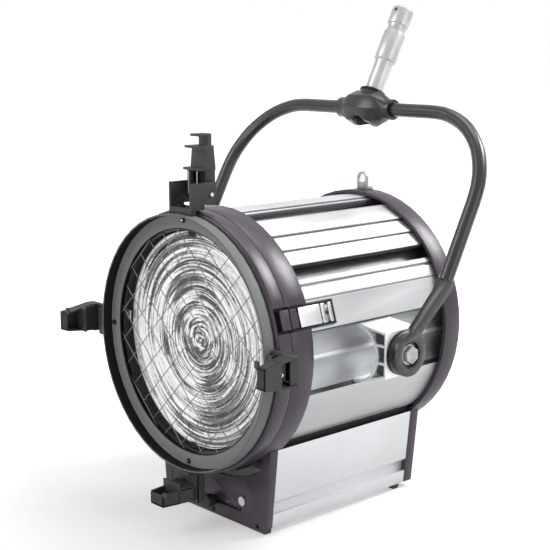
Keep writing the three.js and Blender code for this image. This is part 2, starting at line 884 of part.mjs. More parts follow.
// Body panels: outlines across the axis, their inner side follows at the wall's thickness
function inset(points, distance) {
  const normals = points.slice(1).map(([x, z], i) => {
    const length = Math.hypot(x - points[i][0], z - points[i][1]);
    return [(z - points[i][1]) / length, (points[i][0] - x) / length];
  });
  return points.map(([x, z], i) => {
    const before = normals[Math.max(i - 1, 0)];
    const after = normals[Math.min(i, normals.length - 1)];
    const mitre = distance / (1 + before[0] * after[0] + before[1] * after[1]);
    return [x + (before[0] + after[0]) * mitre, z + (before[1] + after[1]) * mitre];
  });
}

function panel(outer) {
  const inner = inset(outer, SHELL.wall);
  return prismY(outline([...outer, ...inner.reverse()]), SHELL_START, SHELL_END);
}

function topPanel() {
  const edge = SHELL.topHalfAngle;
  const line = SHELL.topLineAngle;
  const low = SHELL_RADIUS - SHELL.beadDepth;
  return panel([
    polar(SHELL_RADIUS - SHELL.lipDepth, -edge),
    ...arc(low, -edge, -line, 1),
    ...arc(SHELL_RADIUS, -line, line, SHELL.crownSteps),
    ...arc(low, line, edge, 1),
    polar(SHELL_RADIUS - SHELL.lipDepth, edge),
  ]);
}

function shoulderPanel() {
  const angles = SHELL.shoulderAngles;
  const points = [polar(SHELL_RADIUS - SHELL.lipDepth, angles[0])];
  for (let i = 0; i + 1 < angles.length; i += 1) {
    const start = i === 0 ? SHELL_RADIUS : SHELL_RADIUS - SHELL.shoulderStep;
    points.push(polar(start, angles[i]));
    points.push(polar(SHELL_RADIUS, angles[i + 1]));
  }
  points.push(polar(SHELL_RADIUS - SHELL.lipDepth, angles[angles.length - 1]));
  return panel(points);
}

// Side panel: bead, crease, mounting channel with its middle ridge, and lower apron
function channelCurve(start, end) {
  const bow = new THREE.QuadraticBezierCurve(
    new THREE.Vector2(...start),
    new THREE.Vector2((start[0] + end[0]) / 2 - SHELL.channelDepth, (start[1] + end[1]) / 2),
    new THREE.Vector2(...end));
  return bow.getPoints(SHELL.channelSteps).map((point) => [point.x, point.y]);
}

function sideProfile() {
  const radius = SHELL_RADIUS;
  const bead = SHELL.beadAngle;
  const beadEnd = bead + SHELL.beadWidthAngle;
  const endRadius = SHELL_RADIUS - SHELL.endInset;
  const topLip = polar(radius, SHELL.channelTopAngle);
  const bottomLip = polar(radius, SHELL.channelBottomAngle);
  const upperFloor = [topLip[0] - SHELL.channelLip, topLip[1] - SHELL.channelLip / 2];
  const lowerFloor = [bottomLip[0] - SHELL.channelLip, bottomLip[1] + SHELL.channelLip / 2];
  const ridge = [radius - SHELL.channelRidge, SHELL.channelRidgeHeight];
  return [
    polar(radius - SHELL.lipDepth, SHELL.sideStart),
    ...arc(radius, SHELL.sideStart, bead, 1),
    ...arc(radius - SHELL.beadDepth, bead, beadEnd, 1),
    ...arc(radius, beadEnd, SHELL.creaseAngle, 2),
    topLip,
    ...channelCurve(upperFloor, ridge),
    ...channelCurve(ridge, lowerFloor).slice(1),
    ...arc(radius, SHELL.channelBottomAngle, SHELL.lowerCreaseAngle, SHELL.apronSteps),
    polar(endRadius, SHELL.endAngle),
    polar(endRadius - SHELL.lipDepth, SHELL.endAngle),
  ];
}

const sidePanel = () => panel(sideProfile());

// The right side panel is notched for the door catch
function catchNotch() {
  const notch = block(
    [-CATCH.halfWidth, SHELL_START - OVERRUN, CATCH_FLOOR - 2 * CATCH.channelWall],
    [CATCH.halfWidth, CATCH.channelEnd + SEAT, SHELL_RADIUS + OVERRUN]);
  return notch.rotateY(radians(CATCH.angle));
}

add(head, 'top_panel', topPanel(), ALUMINIUM);
add(head, 'shoulder_panel_right', shoulderPanel(), ALUMINIUM);
add(head, 'shoulder_panel_left', mirrored(shoulderPanel()), ALUMINIUM);
add(head, 'side_panel_right', cut(sidePanel(), catchNotch()), ALUMINIUM);
add(head, 'side_panel_left', mirrored(sidePanel()), ALUMINIUM);

// Heat shield: a horseshoe of sheet inside the panels
function heatShield() {
  const inner = SHIELD_RADIUS - SHIELD.sheet;
  const band = outline([
    ...arc(SHIELD_RADIUS, -SHIELD.halfAngle, SHIELD.halfAngle, SHIELD.steps),
    ...arc(inner, SHIELD.halfAngle, -SHIELD.halfAngle, SHIELD.steps),
  ]);
  return prismY(band, SHELL_START, SHELL_END);
}

add(head, 'heat_shield', heatShield(), STEEL);

// Door catch: keeper on the door, sliding bolt and its spring in a channel
const catchGroup = clocked(CATCH.angle);

const CATCH_TOP = CASTING_RADIUS - CATCH.blockDepth;
const TONGUE_FLOOR = (CATCH_FLOOR + CATCH_TOP) / 2;

// The keeper has a low step at its back, and the bolt's tongue rides over the step
function keeper() {
  const body = block(
    [-CATCH.blockHalfWidth, CATCH.keeperStart, CATCH_FLOOR + SEAT],
    [CATCH.blockHalfWidth, CATCH.keeperEnd, CATCH_TOP]);
  return cut(body, block(
    [-CATCH.halfWidth, CATCH.keeperEnd - CATCH.travel - SEAT, TONGUE_FLOOR - SEAT],
    [CATCH.halfWidth, CATCH.keeperEnd + OVERRUN, CATCH_TOP + OVERRUN]));
}

function catchSlider() {
  const body = block(
    [-CATCH.blockHalfWidth, CATCH.sliderStart, CATCH_FLOOR + SEAT],
    [CATCH.blockHalfWidth, CATCH.sliderEnd, CATCH_TOP]);
  const tongue = block(
    [-CATCH.blockHalfWidth / 2, CATCH.keeperEnd - CATCH.travel + SEAT, TONGUE_FLOOR],
    [CATCH.blockHalfWidth / 2, CATCH.sliderStart + OVERRUN, CATCH_TOP - SEAT]);
  return join(body, tongue);
}

function catchChannel() {
  const half = CATCH.halfWidth - SEAT;
  const start = SHELL_START;
  const floor = CATCH_FLOOR - CATCH.channelWall;
  const tray = block([-half, start, floor], [half, CATCH.channelEnd, SHELL_RADIUS + CATCH.channelWall]);
  const inside = half - CATCH.channelWall;
  return cut(tray, block(
    [-inside, start - OVERRUN, CATCH_FLOOR],
    [inside, CATCH.channelEnd - CATCH.channelWall, SHELL_RADIUS + OVERRUN]));
}

function catchSpring() {
  const floor = CATCH_FLOOR + SEAT;
  const start = CATCH.sliderEnd + CATCH.travel + SEAT;
  const rise = SHELL_RADIUS + CATCH.springStand;
  const strip = outline([
    [start, floor],
    [CATCH.springEnd, floor],
    [CATCH.springEnd, rise],
    [CATCH.springEnd - CATCH.springBar, rise],
    [CATCH.springEnd - CATCH.springBar, floor + CATCH.springSheet],
    [start + CATCH.springBar, floor + CATCH.springSheet],
    [start + CATCH.springBar, rise],
    [start, rise],
  ]);
  const middle = (start + CATCH.springEnd) / 2;
  const hole = barrelZ(CATCH.springHole, floor - OVERRUN, rise, SMALL_FACETS);
  return cut(prismX(strip, -CATCH.blockHalfWidth, CATCH.blockHalfWidth), hole.translate(0, middle, 0));
}

add(catchGroup, 'catch_keeper', keeper(), AUBERGINE);
add(catchGroup, 'catch_slider', catchSlider(), ALUMINIUM);
add(catchGroup, 'catch_channel', catchChannel(), DEEP_BLACK);
add(catchGroup, 'catch_spring', catchSpring(), STEEL);

// Base: side panels that taper inwards, end castings, plate and feet
const BASE_SLOPE = BASE.taper / (AXIS_HEIGHT - BASE_TOP);
const baseHalfWidth = (drop) => BASE.topHalfWidth - (drop - BASE_TOP) * BASE_SLOPE;
const BASE_FRONT = FRONT_START + BASE.frontInset;
const BASE_REAR = REAR_END - BASE.rearInset;
const BASE_PANEL_START = BASE_FRONT + BASE.frontLength + SEAT;
const BASE_PANEL_END = BASE_REAR - BASE.rearLength - SEAT;

function baseSidePanel() {
  const outerAt = (drop, depth) => [baseHalfWidth(drop) - depth, -drop];
  const grooveTop = AXIS_HEIGHT - BASE.grooveTopRise;
  const grooveBottom = AXIS_HEIGHT - BASE.grooveBottomRise;
  const outer = [
    outerAt(BASE_TOP, 0),
    outerAt(grooveTop, 0),
    outerAt(grooveTop + BASE.grooveBevel, BASE.grooveDepth),
    outerAt(grooveBottom, BASE.grooveDepth),
    outerAt(grooveBottom, 0),
    outerAt(AXIS_HEIGHT, 0),
  ];
  const inner = [
    outerAt(AXIS_HEIGHT, BASE.wall),
    outerAt(grooveBottom + BASE.wall, BASE.wall),
    outerAt(grooveBottom + BASE.wall, BASE.wall + BASE.grooveDepth),
    outerAt(grooveTop + BASE.grooveBevel - BASE.wall, BASE.wall + BASE.grooveDepth),
    outerAt(grooveTop - BASE.wall, BASE.wall),
    outerAt(BASE_TOP, BASE.wall),
  ];
  return cut(
    prismY(outline([...outer, ...inner]), BASE_PANEL_START, BASE_PANEL_END),
    barrel(CASTING_RADIUS + SEAT, BASE_PANEL_START - OVERRUN, BASE_PANEL_END + OVERRUN, LARGE_FACETS));
}

add(head, 'base_side_panel_right', baseSidePanel(), ALUMINIUM);
add(head, 'base_side_panel_left', mirrored(baseSidePanel()), ALUMINIUM);

function baseOutline(topDrop, bottomDrop, edge) {
  return outline([
    [baseHalfWidth(bottomDrop) - edge, -bottomDrop + edge],
    [baseHalfWidth(topDrop) - edge, -topDrop - edge],
    [-baseHalfWidth(topDrop) + edge, -topDrop - edge],
    [-baseHalfWidth(bottomDrop) + edge, -bottomDrop + edge],
  ]);
}

const rodBore = (side, from, to) => barrel(ROD.radius + SEAT, from, to, SMALL_FACETS)
  .translate(side * ROD.spread, 0, -ROD_DROP);

// A tray open towards the middle of the base, whose top clears the round castings
function baseCasting(from, to, wallFrom, wallTo) {
  const shell = cut(
    prismY(baseOutline(BASE_TOP, AXIS_HEIGHT, 0), from, to),
    prismY(baseOutline(BASE_TOP, AXIS_HEIGHT, BASE.castingWall), wallFrom, wallTo));
  return cut(shell,
    barrel(CASTING_RADIUS + SEAT, from - OVERRUN, to + OVERRUN, LARGE_FACETS),
    rodBore(1, from - OVERRUN, to + OVERRUN),
    rodBore(-1, from - OVERRUN, to + OVERRUN));
}

// A sill between the side panels, which carries the feet and the edge of the plate
const SILL_HALF_WIDTH = baseHalfWidth(AXIS_HEIGHT) - BASE.wall - SEAT;

function sill(from, to) {
  return block(
    [-SILL_HALF_WIDTH, from, -AXIS_HEIGHT],
    [SILL_HALF_WIDTH, to, -AXIS_HEIGHT + BASE.castingWall]);
}

function baseFront() {
  const start = BASE_FRONT;
  const end = start + BASE.frontLength;
  const tray = baseCasting(start, end, start + BASE.castingWall, end + OVERRUN);
  const slotHalf = LEVER.slotHeight / 2;
  const slot = block(
    [-LEVER.slotHalfLength, start - OVERRUN, -LEVER_DROP - slotHalf],
    [LEVER.slotHalfLength, start + BASE.castingWall + OVERRUN, -LEVER_DROP + slotHalf]);
  const recess = common(
    barrel(CASTING_RADIUS + BASE.doorClearance, start - OVERRUN, start + BASE.recessDepth, LARGE_FACETS),
    block([-BASE.recessHalfWidth, start - OVERRUN, -AXIS_HEIGHT],
      [BASE.recessHalfWidth, start + BASE.recessDepth, 0]));
  const skirt = prismY(baseOutline(AXIS_HEIGHT - BASE.castingWall, AXIS_HEIGHT + BASE.skirtReach, 0),
    start, start + BASE.skirtThickness);
  const screwHole = (x) => barrel(BASE.screwRadius, start - OVERRUN, start + BASE.screwDepth, SMALL_FACETS)
    .translate(x, 0, -AXIS_HEIGHT + BASE.screwRise);
  return cut(join(tray, sill(start + BASE.castingWall, start + BASE.frontSill), skirt), slot, recess,
    screwHole(-BASE.screwSpread), screwHole(0), screwHole(BASE.screwSpread));
}

function baseRear() {
  const end = BASE_REAR;
  const start = end - BASE.rearLength;
  const tray = baseCasting(start, end, start - OVERRUN, end - BASE.castingWall);
  const inlet = barrel(GLAND.nutRadius + SEAT, start - OVERRUN, end + OVERRUN, MEDIUM_FACETS);
  return cut(join(tray, sill(end - BASE.rearSill, end - BASE.castingWall)),
    inlet.translate(-GLAND.offset, 0, -GLAND_DROP));
}

add(head, 'base_front_casting', baseFront(), AUBERGINE);
add(head, 'base_rear_casting', baseRear(), AUBERGINE);

add(head, 'base_plate', block(
  [-SILL_HALF_WIDTH, BASE_FRONT + BASE.frontSill + SEAT, -AXIS_HEIGHT],
  [SILL_HALF_WIDTH, BASE_REAR - BASE.rearSill - SEAT, -AXIS_HEIGHT + BASE.plate]), ALUMINIUM);

function foot() {
  const half = FOOT.width / 2;
  const side = outline([
    [-half, 0],
    [-half + FOOT.bevel, -FOOT.height],
    [half - FOOT.bevel / 2, -FOOT.height],
    [half, 0],
  ]);
  return prismY(side, 0, FOOT.depth);
}

const FOOT_TOP = -AXIS_HEIGHT - SEAT;
const FOOT_X = BASE_BOTTOM_HALF_WIDTH - FOOT.sideInset - FOOT.width / 2;
const FOOT_FRONT = BASE_FRONT + FOOT.frontInset;
const FOOT_REAR = BASE_REAR - FOOT.rearInset - FOOT.depth;
add(head, 'foot_front_right', foot().translate(FOOT_X, FOOT_FRONT, FOOT_TOP), RUBBER);
add(head, 'foot_rear_right', foot().translate(FOOT_X, FOOT_REAR, FOOT_TOP), RUBBER);
add(head, 'foot_front_left', mirrored(foot().translate(FOOT_X, FOOT_FRONT, FOOT_TOP)), RUBBER);
add(head, 'foot_rear_left', mirrored(foot().translate(FOOT_X, FOOT_REAR, FOOT_TOP)), RUBBER);

// Guide rods, through both end castings
for (const [name, side] of [['guide_rod_right', 1], ['guide_rod_left', -1]]) {
  const rod = barrel(ROD.radius, BASE_FRONT - ROD.proud, BASE_REAR, SMALL_FACETS);
  add(head, name, rod.translate(side * ROD.spread, 0, -ROD_DROP), STEEL);
}

// Carriage: a plate on two bushes that ride on the rods
const optics = new THREE.Group();
optics.position.set(0, CARRIAGE.lampDepth, 0);
head.add(optics);

const BUSH_RADIUS = ROD.radius + SEAT + CARRIAGE.bushWall;
const CARRIAGE_TOP = -ROD_DROP + BUSH_RADIUS;

function carriage() {
  const half = CARRIAGE.halfLength;
  const bush = (side) => barrel(BUSH_RADIUS, -half, half, SMALL_FACETS)
    .translate(side * ROD.spread, 0, -ROD_DROP);
  const plate = block(
    [-ROD.spread, -half, CARRIAGE_TOP - CARRIAGE.plate],
    [ROD.spread, half, CARRIAGE_TOP]);
  return cut(
    join(bush(1), plate, bush(-1)),
    rodBore(1, -half - OVERRUN, half + OVERRUN),
    rodBore(-1, -half - OVERRUN, half + OVERRUN));
}

add(optics, 'lamp_carriage', carriage(), ALUMINIUM);

// Lamp holder: a ceramic block with two sockets
const HOLDER_BOTTOM = CARRIAGE_TOP + SEAT;
const HOLDER_TOP = -LAMP.seatDrop - SEAT;

function lampHolder() {
  const floor = HOLDER_TOP - LAMP.pinLength - SEAT;
  const socket = (side) => barrelZ(LAMP.pinRadius + SEAT, floor, HOLDER_TOP + OVERRUN, SMALL_FACETS)
    .translate(side * LAMP.pinSpread, 0, 0);
  const body = block(
    [-HOLDER.halfWidth, -HOLDER.halfDepth, HOLDER_BOTTOM],
    [HOLDER.halfWidth, HOLDER.halfDepth, HOLDER_TOP]);
  return cut(body, socket(1), socket(-1));
}

add(optics, 'lamp_holder', lampHolder(), CERAMIC);

// Lamp: ceramic base with two pins, glass envelope open below, and a zigzag filament
function lampBase() {
  const top = -LAMP.globeBottom - SEAT;
  const seat = -LAMP.seatDrop;
  const pin = (side) => barrelZ(LAMP.pinRadius, seat - LAMP.pinLength, seat + SEAT, SMALL_FACETS)
    .translate(side * LAMP.pinSpread, 0, 0);
  const body = block(
    [-LAMP.baseHalfWidth, -LAMP.baseHalfDepth, seat],
    [LAMP.baseHalfWidth, LAMP.baseHalfDepth, top - LAMP.plugHeight]);
  const neck = barrelZ(LAMP.globeRadius, top - LAMP.plugHeight - SEAT, top, MEDIUM_FACETS);
  const plugRadius = LAMP.globeRadius - LAMP.glass - SEAT;
  const plug = barrelZ(plugRadius, top - SEAT, top + LAMP.plugHeight, MEDIUM_FACETS);
  return join(body, neck, plug, pin(1), pin(-1));
}

function lampGlobe() {
  const outer = LAMP.globeRadius;
  const inner = outer - LAMP.glass;
  const domeStart = LAMP.globeTop - outer;
  const steps = LAMP.domeSteps;
  const dome = (radius) => {
    const points = [];
    for (let i = 0; i <= steps; i += 1) {
      const angle = (Math.PI / 2) * (i / steps);
      points.push([radius * Math.cos(angle), domeStart + radius * Math.sin(angle)]);
    }
    points[steps][0] = 0;
    return points;
  };
  return turnedZ([
    ...dome(outer).reverse(),
    [outer, -LAMP.globeBottom],
    [inner, -LAMP.globeBottom],
    ...dome(inner),
  ], MEDIUM_FACETS);
}

function wireAlong(points, radius, steps) {
  const path = new THREE.CurvePath();
  for (let i = 0; i + 1 < points.length; i += 1) {
    path.add(new THREE.LineCurve3(points[i], points[i + 1]));
  }
  const section = new THREE.Shape().absarc(0, 0, radius, 0, 2 * Math.PI);
  const smooth = new THREE.CatmullRomCurve3(path.getSpacedPoints(steps), false, 'centripetal');
  return new THREE.ExtrudeGeometry(section, { steps: 2 * steps, curveSegments: 3, extrudePath: smooth });
}

function lampFilament() {
  const foot = -LAMP.globeBottom + LAMP.plugHeight;
  const points = [new THREE.Vector3(-LAMP.postSpread, 0, foot), new THREE.Vector3(-LAMP.postSpread, 0, 0)];
  for (let run = 0; run < LAMP.filamentRuns; run += 1) {
    const x = -LAMP.filamentHalfWidth + (2 * LAMP.filamentHalfWidth * run) / (LAMP.filamentRuns - 1);
    const up = run % 2 === 0 ? 1 : -1;
    points.push(new THREE.Vector3(x, 0, -up * LAMP.filamentHalfHeight));
    points.push(new THREE.Vector3(x, 0, up * LAMP.filamentHalfHeight));
  }
  points.push(new THREE.Vector3(LAMP.postSpread, 0, 0), new THREE.Vector3(LAMP.postSpread, 0, foot));
  return wireAlong(points, LAMP.filamentWire, LAMP.filamentSteps);
}

add(optics, 'lamp_base', lampBase(), CERAMIC);
add(optics, 'lamp_globe', lampGlobe(), GLASS);
add(optics, 'lamp_filament', lampFilament(), TUNGSTEN);

// Spherical reflector behind the lamp, on a strap that stands on the carriage
function reflectorBowl() {
  const sphere = (radius, from, to) => {
    const points = [];
    for (let i = 0; i <= REFLECTOR.bowlSteps; i += 1) {
      const angle = radians(from + ((to - from) * i) / REFLECTOR.bowlSteps);
      points.push([radius * Math.sin(angle), radius * Math.cos(angle)]);
    }
    return points;
  };
  return turned([
    ...sphere(REFLECTOR.radius + REFLECTOR.sheet, 0, REFLECTOR.halfAngle),
    ...sphere(REFLECTOR.radius, REFLECTOR.halfAngle, 0),
  ], MEDIUM_FACETS);
}

function reflectorStrap() {
  const front = REFLECTOR.radius + REFLECTOR.sheet + SEAT;
  const back = front + REFLECTOR.strap;
  const low = CARRIAGE_TOP + SEAT;
  const heel = HOLDER.halfDepth + SEAT;
  const toe = CARRIAGE.halfLength;
  const side = outline([
    [heel, low],
    [toe, low],
    [back, -REFLECTOR.strapBend],
    [back, REFLECTOR.strapTop],
    [front, REFLECTOR.strapTop],
    [front, -REFLECTOR.strapBend],
    [toe - REFLECTOR.strap, low + REFLECTOR.strap],
    [heel, low + REFLECTOR.strap],
  ]);
  return prismX(side, -REFLECTOR.strapHalfWidth, REFLECTOR.strapHalfWidth);
}

add(optics, 'reflector', reflectorBowl(), MIRROR);
add(optics, 'reflector_strap', reflectorStrap(), STEEL);

// Focus lever: a blade through the front slot, with a knob before it
function focusLever() {
  const knobFront = BASE_FRONT - LEVER.knobStandOff - LEVER.knobLength;
  const half = LEVER.blade / 2;
  const bladeHalf = LEVER.slotHeight / 2 - SEAT;
  const blade = block(
    [-half, knobFront + OVERRUN, -bladeHalf],
    [half, BASE_FRONT + BASE.castingWall + LEVER.tail, bladeHalf]);
  const knob = barrel(LEVER.knobRadius, knobFront, knobFront + LEVER.knobLength, SMALL_FACETS);
  return join(knob, blade).translate(0, 0, -LEVER_DROP);
}

add(head, 'focus_lever', focusLever(), BLACK);

// Cable gland in the rear of the base
function cableGland() {
  const wall = BASE_REAR;
  return turned([
    [GLAND.bore, wall - BASE.castingWall - GLAND.hexLength],
    [GLAND.nutRadius, wall - BASE.castingWall - GLAND.hexLength],
    [GLAND.nutRadius, wall + SEAT],
    [GLAND.hexRadius, wall + SEAT],
    [GLAND.hexRadius, wall + GLAND.hexLength],
    [GLAND.nutRadius, wall + GLAND.hexLength],
    [GLAND.nutRadius, wall + GLAND.hexLength + GLAND.nutLength * GLAND.nutTaperShare],
    [GLAND.bore + GLAND.mouthWall, wall + GLAND.hexLength + GLAND.nutLength],
    [GLAND.bore, wall + GLAND.hexLength + GLAND.nutLength],
  ], MEDIUM_FACETS).translate(-GLAND.offset, 0, -GLAND_DROP);
}

add(head, 'cable_gland', cableGland(), DEEP_BLACK);

// Safety eye on the rear casting
function safetyEye() {
  const base = CASTING_RADIUS;
  const half = EYE.width / 2;
  const plate = outline([
    [-half, base - OVERRUN],
    [half, base - OVERRUN],
    [half, base + EYE.height - half],
  ]);
  plate.absarc(0, base + EYE.height - half, half, 0, Math.PI, false);
  plate.lineTo(-half, base - OVERRUN);
  const hole = new THREE.Path().absarc(0, base + EYE.height - half, EYE.hole, 0, 2 * Math.PI, true);
  plate.holes.push(hole);
  const foot = block([-half, 0, base - OVERRUN], [half, EYE.footDepth, base + EYE.footHeight]);
  const body = join(prismY(plate, 0, EYE.plate), foot);
  return cut(body, barrel(CASTING_RADIUS + SEAT, -OVERRUN, EYE.footDepth + OVERRUN, LARGE_FACETS));
}

add(head, 'safety_eye', safetyEye().translate(0, REAR_END - EYE.fromRear, 0), STEEL);

// Tilt brackets: an arched extrusion on each side, with three cells behind its face
const tiltSide = new THREE.Group();
tiltSide.position.set(0, TILT_DEPTH, -TILT_DROP);
head.add(tiltSide);

const BRACKET_FACE = SHELL_RADIUS + BRACKET.stand;

function tiltBracket() {
  const half = BRACKET.length / 2;
  const archX = SHELL_RADIUS - BRACKET.archInset;
  const archZ = -BRACKET.archDrop;
  const root = archX - OVERRUN;
  const outer = outline([
    [root, -BRACKET.footDrop],
    [BRACKET_FACE, -BRACKET.drop],
    [BRACKET_FACE, BRACKET.rise],
    [root, BRACKET.footRise],
  ]);
  const inner = BRACKET_FACE - BRACKET.wall;
  const cells = outline([
    [archX, -BRACKET.footDrop + BRACKET.wall],
    [inner, -BRACKET.drop + BRACKET.wall],
    [inner, BRACKET.rise - BRACKET.wall],
    [archX, BRACKET.footRise - BRACKET.wall],
  ]);
  const rib = (z) => block(
    [root, -half - OVERRUN, z - BRACKET.rib / 2],
    [BRACKET_FACE, half + OVERRUN, z + BRACKET.rib / 2]);
  const archSkin = barrel(BRACKET.archRadius + BRACKET.wall, -half - OVERRUN, half + OVERRUN, MEDIUM_FACETS)
    .translate(archX, 0, archZ);
  const hollow = cut(prismY(cells, -half - OVERRUN, half + OVERRUN),
    archSkin, rib(BRACKET.ribSpacing / 2), rib(-BRACKET.ribSpacing / 2));
  const arch = barrel(BRACKET.archRadius, -half - OVERRUN, half + OVERRUN, MEDIUM_FACETS)
    .translate(archX, 0, archZ);
  const bore = barrelX(PIVOT.boltRadius + SEAT, inner - OVERRUN, BRACKET_FACE + OVERRUN, SMALL_FACETS);
  const seat = outline([[0, 0], ...inset(sideProfile(), -SEAT)]);
  const body = prismY(seat, -half - OVERRUN, half + OVERRUN).translate(0, 0, TILT_DROP);
  return cut(prismY(outer, -half, half), hollow, arch, bore, body);
}

add(tiltSide, 'tilt_bracket_right', tiltBracket(), ALUMINIUM);
add(tiltSide, 'tilt_bracket_left', mirrored(tiltBracket()), ALUMINIUM);

// Friction discs and pivot bolts
const DISC_START = BRACKET_FACE + SEAT;
const EYE_START = DISC_START + PIVOT.discThickness + SEAT;
const EYE_END = EYE_START + YOKE_EYE.thickness;
const YOKE_HALF_WIDTH = EYE_END + YOKE.splay;

function frictionDisc(thickness) {
  return turnedX([
    [PIVOT.boltRadius + SEAT, DISC_START],
    [PIVOT.discRadius, DISC_START],
    [PIVOT.discRadius, DISC_START + thickness],
    [PIVOT.boltRadius + SEAT, DISC_START + thickness],
  ], MEDIUM_FACETS);
}

const WASHER_START = EYE_END - YOKE_EYE.boreDepth + SEAT;
const HEAD_START = WASHER_START + PIVOT.washerThickness;

function pivotBolt() {
  const inner = BRACKET_FACE - BRACKET.wall - SEAT;
  return join(
    barrelX(PIVOT.boltRadius, inner - PIVOT.nutLength, HEAD_START, SMALL_FACETS),
    barrelX(PIVOT.nutRadius, inner - PIVOT.nutLength, inner, HEX),
    barrelX(PIVOT.washerRadius, WASHER_START, HEAD_START, MEDIUM_FACETS),
    barrelX(PIVOT.headRadius, HEAD_START, HEAD_START + PIVOT.headHeight, HEX));
}

function tiltLock() {
  const washer = WASHER_START + PIVOT.lockSpacer;
  const start = HEAD_START + PIVOT.lockSpacer;
  const end = start + TILT_LOCK.hubLength;
  const middle = end - TILT_LOCK.armTipRadius;
  const arm = turnedZ([
    [0, 0],
    [TILT_LOCK.armRadius, 0],
    [TILT_LOCK.armRadius, TILT_LOCK.arm - TILT_LOCK.armTipRadius * 2],
    [TILT_LOCK.armTipRadius, TILT_LOCK.arm - TILT_LOCK.armTipRadius],
    [TILT_LOCK.armTipRadius / 2, TILT_LOCK.arm],
    [0, TILT_LOCK.arm],
  ], SMALL_FACETS).rotateX(Math.PI).translate(middle, 0, 0);
  const inner = BRACKET_FACE - BRACKET.wall - SEAT;
  return join(
    barrelX(PIVOT.boltRadius, inner - PIVOT.nutLength, start, SMALL_FACETS),
    barrelX(PIVOT.washerRadius, washer, start, MEDIUM_FACETS),
    barrelX(TILT_LOCK.hubRadius, start, end, MEDIUM_FACETS),
    arm);
}

// The side with the lock lever has a thicker disc, so the yoke stands further out there
const LOCK_DISC = PIVOT.discThickness + PIVOT.lockSpacer;
add(tiltSide, 'friction_disc_right', frictionDisc(PIVOT.discThickness), DEEP_BLACK);
add(tiltSide, 'friction_disc_left', mirrored(frictionDisc(LOCK_DISC)), DEEP_BLACK);
add(tiltSide, 'pivot_bolt', pivotBolt(), STEEL);
add(tiltSide, 'tilt_lock_lever', mirrored(tiltLock()), BLACK);

// Yoke, modelled upright from the tilt axis and then leaned back
const yoke = new THREE.Group();
yoke.position.copy(tiltSide.position);
yoke.rotation.x = -radians(YOKE.lean);
head.add(yoke);

const TUBE_RADIUS = YOKE.tubeDiameter / 2;

function yokeTube() {
  const start = YOKE_EYE.top + SEAT;
  const shoulder = YOKE.height - YOKE.bendRadius;
  const path = new THREE.CurvePath();
  const at = (x, z) => new THREE.Vector3(x, 0, z);
  const arm = (side, halfWidth) => {
    const corner = halfWidth - YOKE.bendRadius;
    const points = [at(side * halfWidth, start)];
    for (let i = 0; i <= YOKE.bendSteps; i += 1) {
      const angle = (Math.PI / 2) * (i / YOKE.bendSteps);
      const reach = corner + YOKE.bendRadius * Math.cos(angle);
      points.push(at(side * reach, shoulder + YOKE.bendRadius * Math.sin(angle)));
    }
    return points;
  };
  const points = [...arm(1, YOKE_HALF_WIDTH), ...arm(-1, YOKE_HALF_WIDTH + PIVOT.lockSpacer).reverse()];
  for (let i = 0; i + 1 < points.length; i += 1) {
    path.add(new THREE.LineCurve3(points[i], points[i + 1]));
  }
  const section = new THREE.Shape().absarc(0, 0, TUBE_RADIUS, 0, 2 * Math.PI);
  return new THREE.ExtrudeGeometry(section, {
    steps: YOKE.tubeSteps,
    curveSegments: MEDIUM_FACETS / 4,
    extrudePath: path,
  });
}

add(yoke, 'yoke_tube', yokeTube(), BLACK);

function yokeEye() {
  const tubeInner = YOKE_HALF_WIDTH - TUBE_RADIUS;
  const tubeOuter = YOKE_HALF_WIDTH + TUBE_RADIUS;
  const front = outline([
    [EYE_START, -YOKE_EYE.radius],
    [EYE_END, -YOKE_EYE.radius],
    [EYE_END, YOKE_EYE.stemStart],
    [EYE_END + YOKE_EYE.kneeReach, YOKE_EYE.kneeOuter],
    [tubeOuter, YOKE_EYE.slopeEnd],
    [tubeOuter, YOKE_EYE.top],
    [tubeInner, YOKE_EYE.top],
    [tubeInner, YOKE_EYE.innerSlopeEnd],
    [EYE_START + YOKE_EYE.kneeInset, YOKE_EYE.kneeInner],
    [EYE_START, YOKE_EYE.stemStart],
  ]);
  const widths = [
    [YOKE_EYE.rootHalfWidth, YOKE_EYE.rootHalfWidth],
    [YOKE_EYE.waistHalfWidth, YOKE_EYE.waist],
    [YOKE_EYE.kneeHalfWidth, YOKE_EYE.kneeInner],
    [YOKE_EYE.bellyHalfWidth, YOKE_EYE.belly],
    [YOKE_EYE.topHalfWidth, YOKE_EYE.top],
  ];
  const mirroredWidths = widths.map(([half, rise]) => [-half, rise]).reverse();
  const side = join(
    barrelX(YOKE_EYE.radius, EYE_START - OVERRUN, tubeOuter + OVERRUN, MEDIUM_FACETS),
    prismX(outline([...widths, ...mirroredWidths]), EYE_START - OVERRUN, tubeOuter + OVERRUN));
  return cut(
    common(prismY(front, -YOKE_EYE.radius, YOKE_EYE.radius), side),
    barrelX(PIVOT.boltRadius + SEAT, EYE_START - OVERRUN, EYE_END + OVERRUN, SMALL_FACETS),
    barrelX(YOKE_EYE.boreRadius, EYE_END - YOKE_EYE.boreDepth, EYE_END + OVERRUN, MEDIUM_FACETS));
}

add(yoke, 'yoke_eye_right', yokeEye(), BLACK);
add(yoke, 'yoke_eye_left', mirrored(yokeEye().translate(PIVOT.lockSpacer, 0, 0)), BLACK);

// Clamp casting in the middle of the bar: an eight-sided body that tapers to round collars
const spigotSide = new THREE.Group();
spigotSide.position.set(0, 0, YOKE.height);
yoke.add(spigotSide);

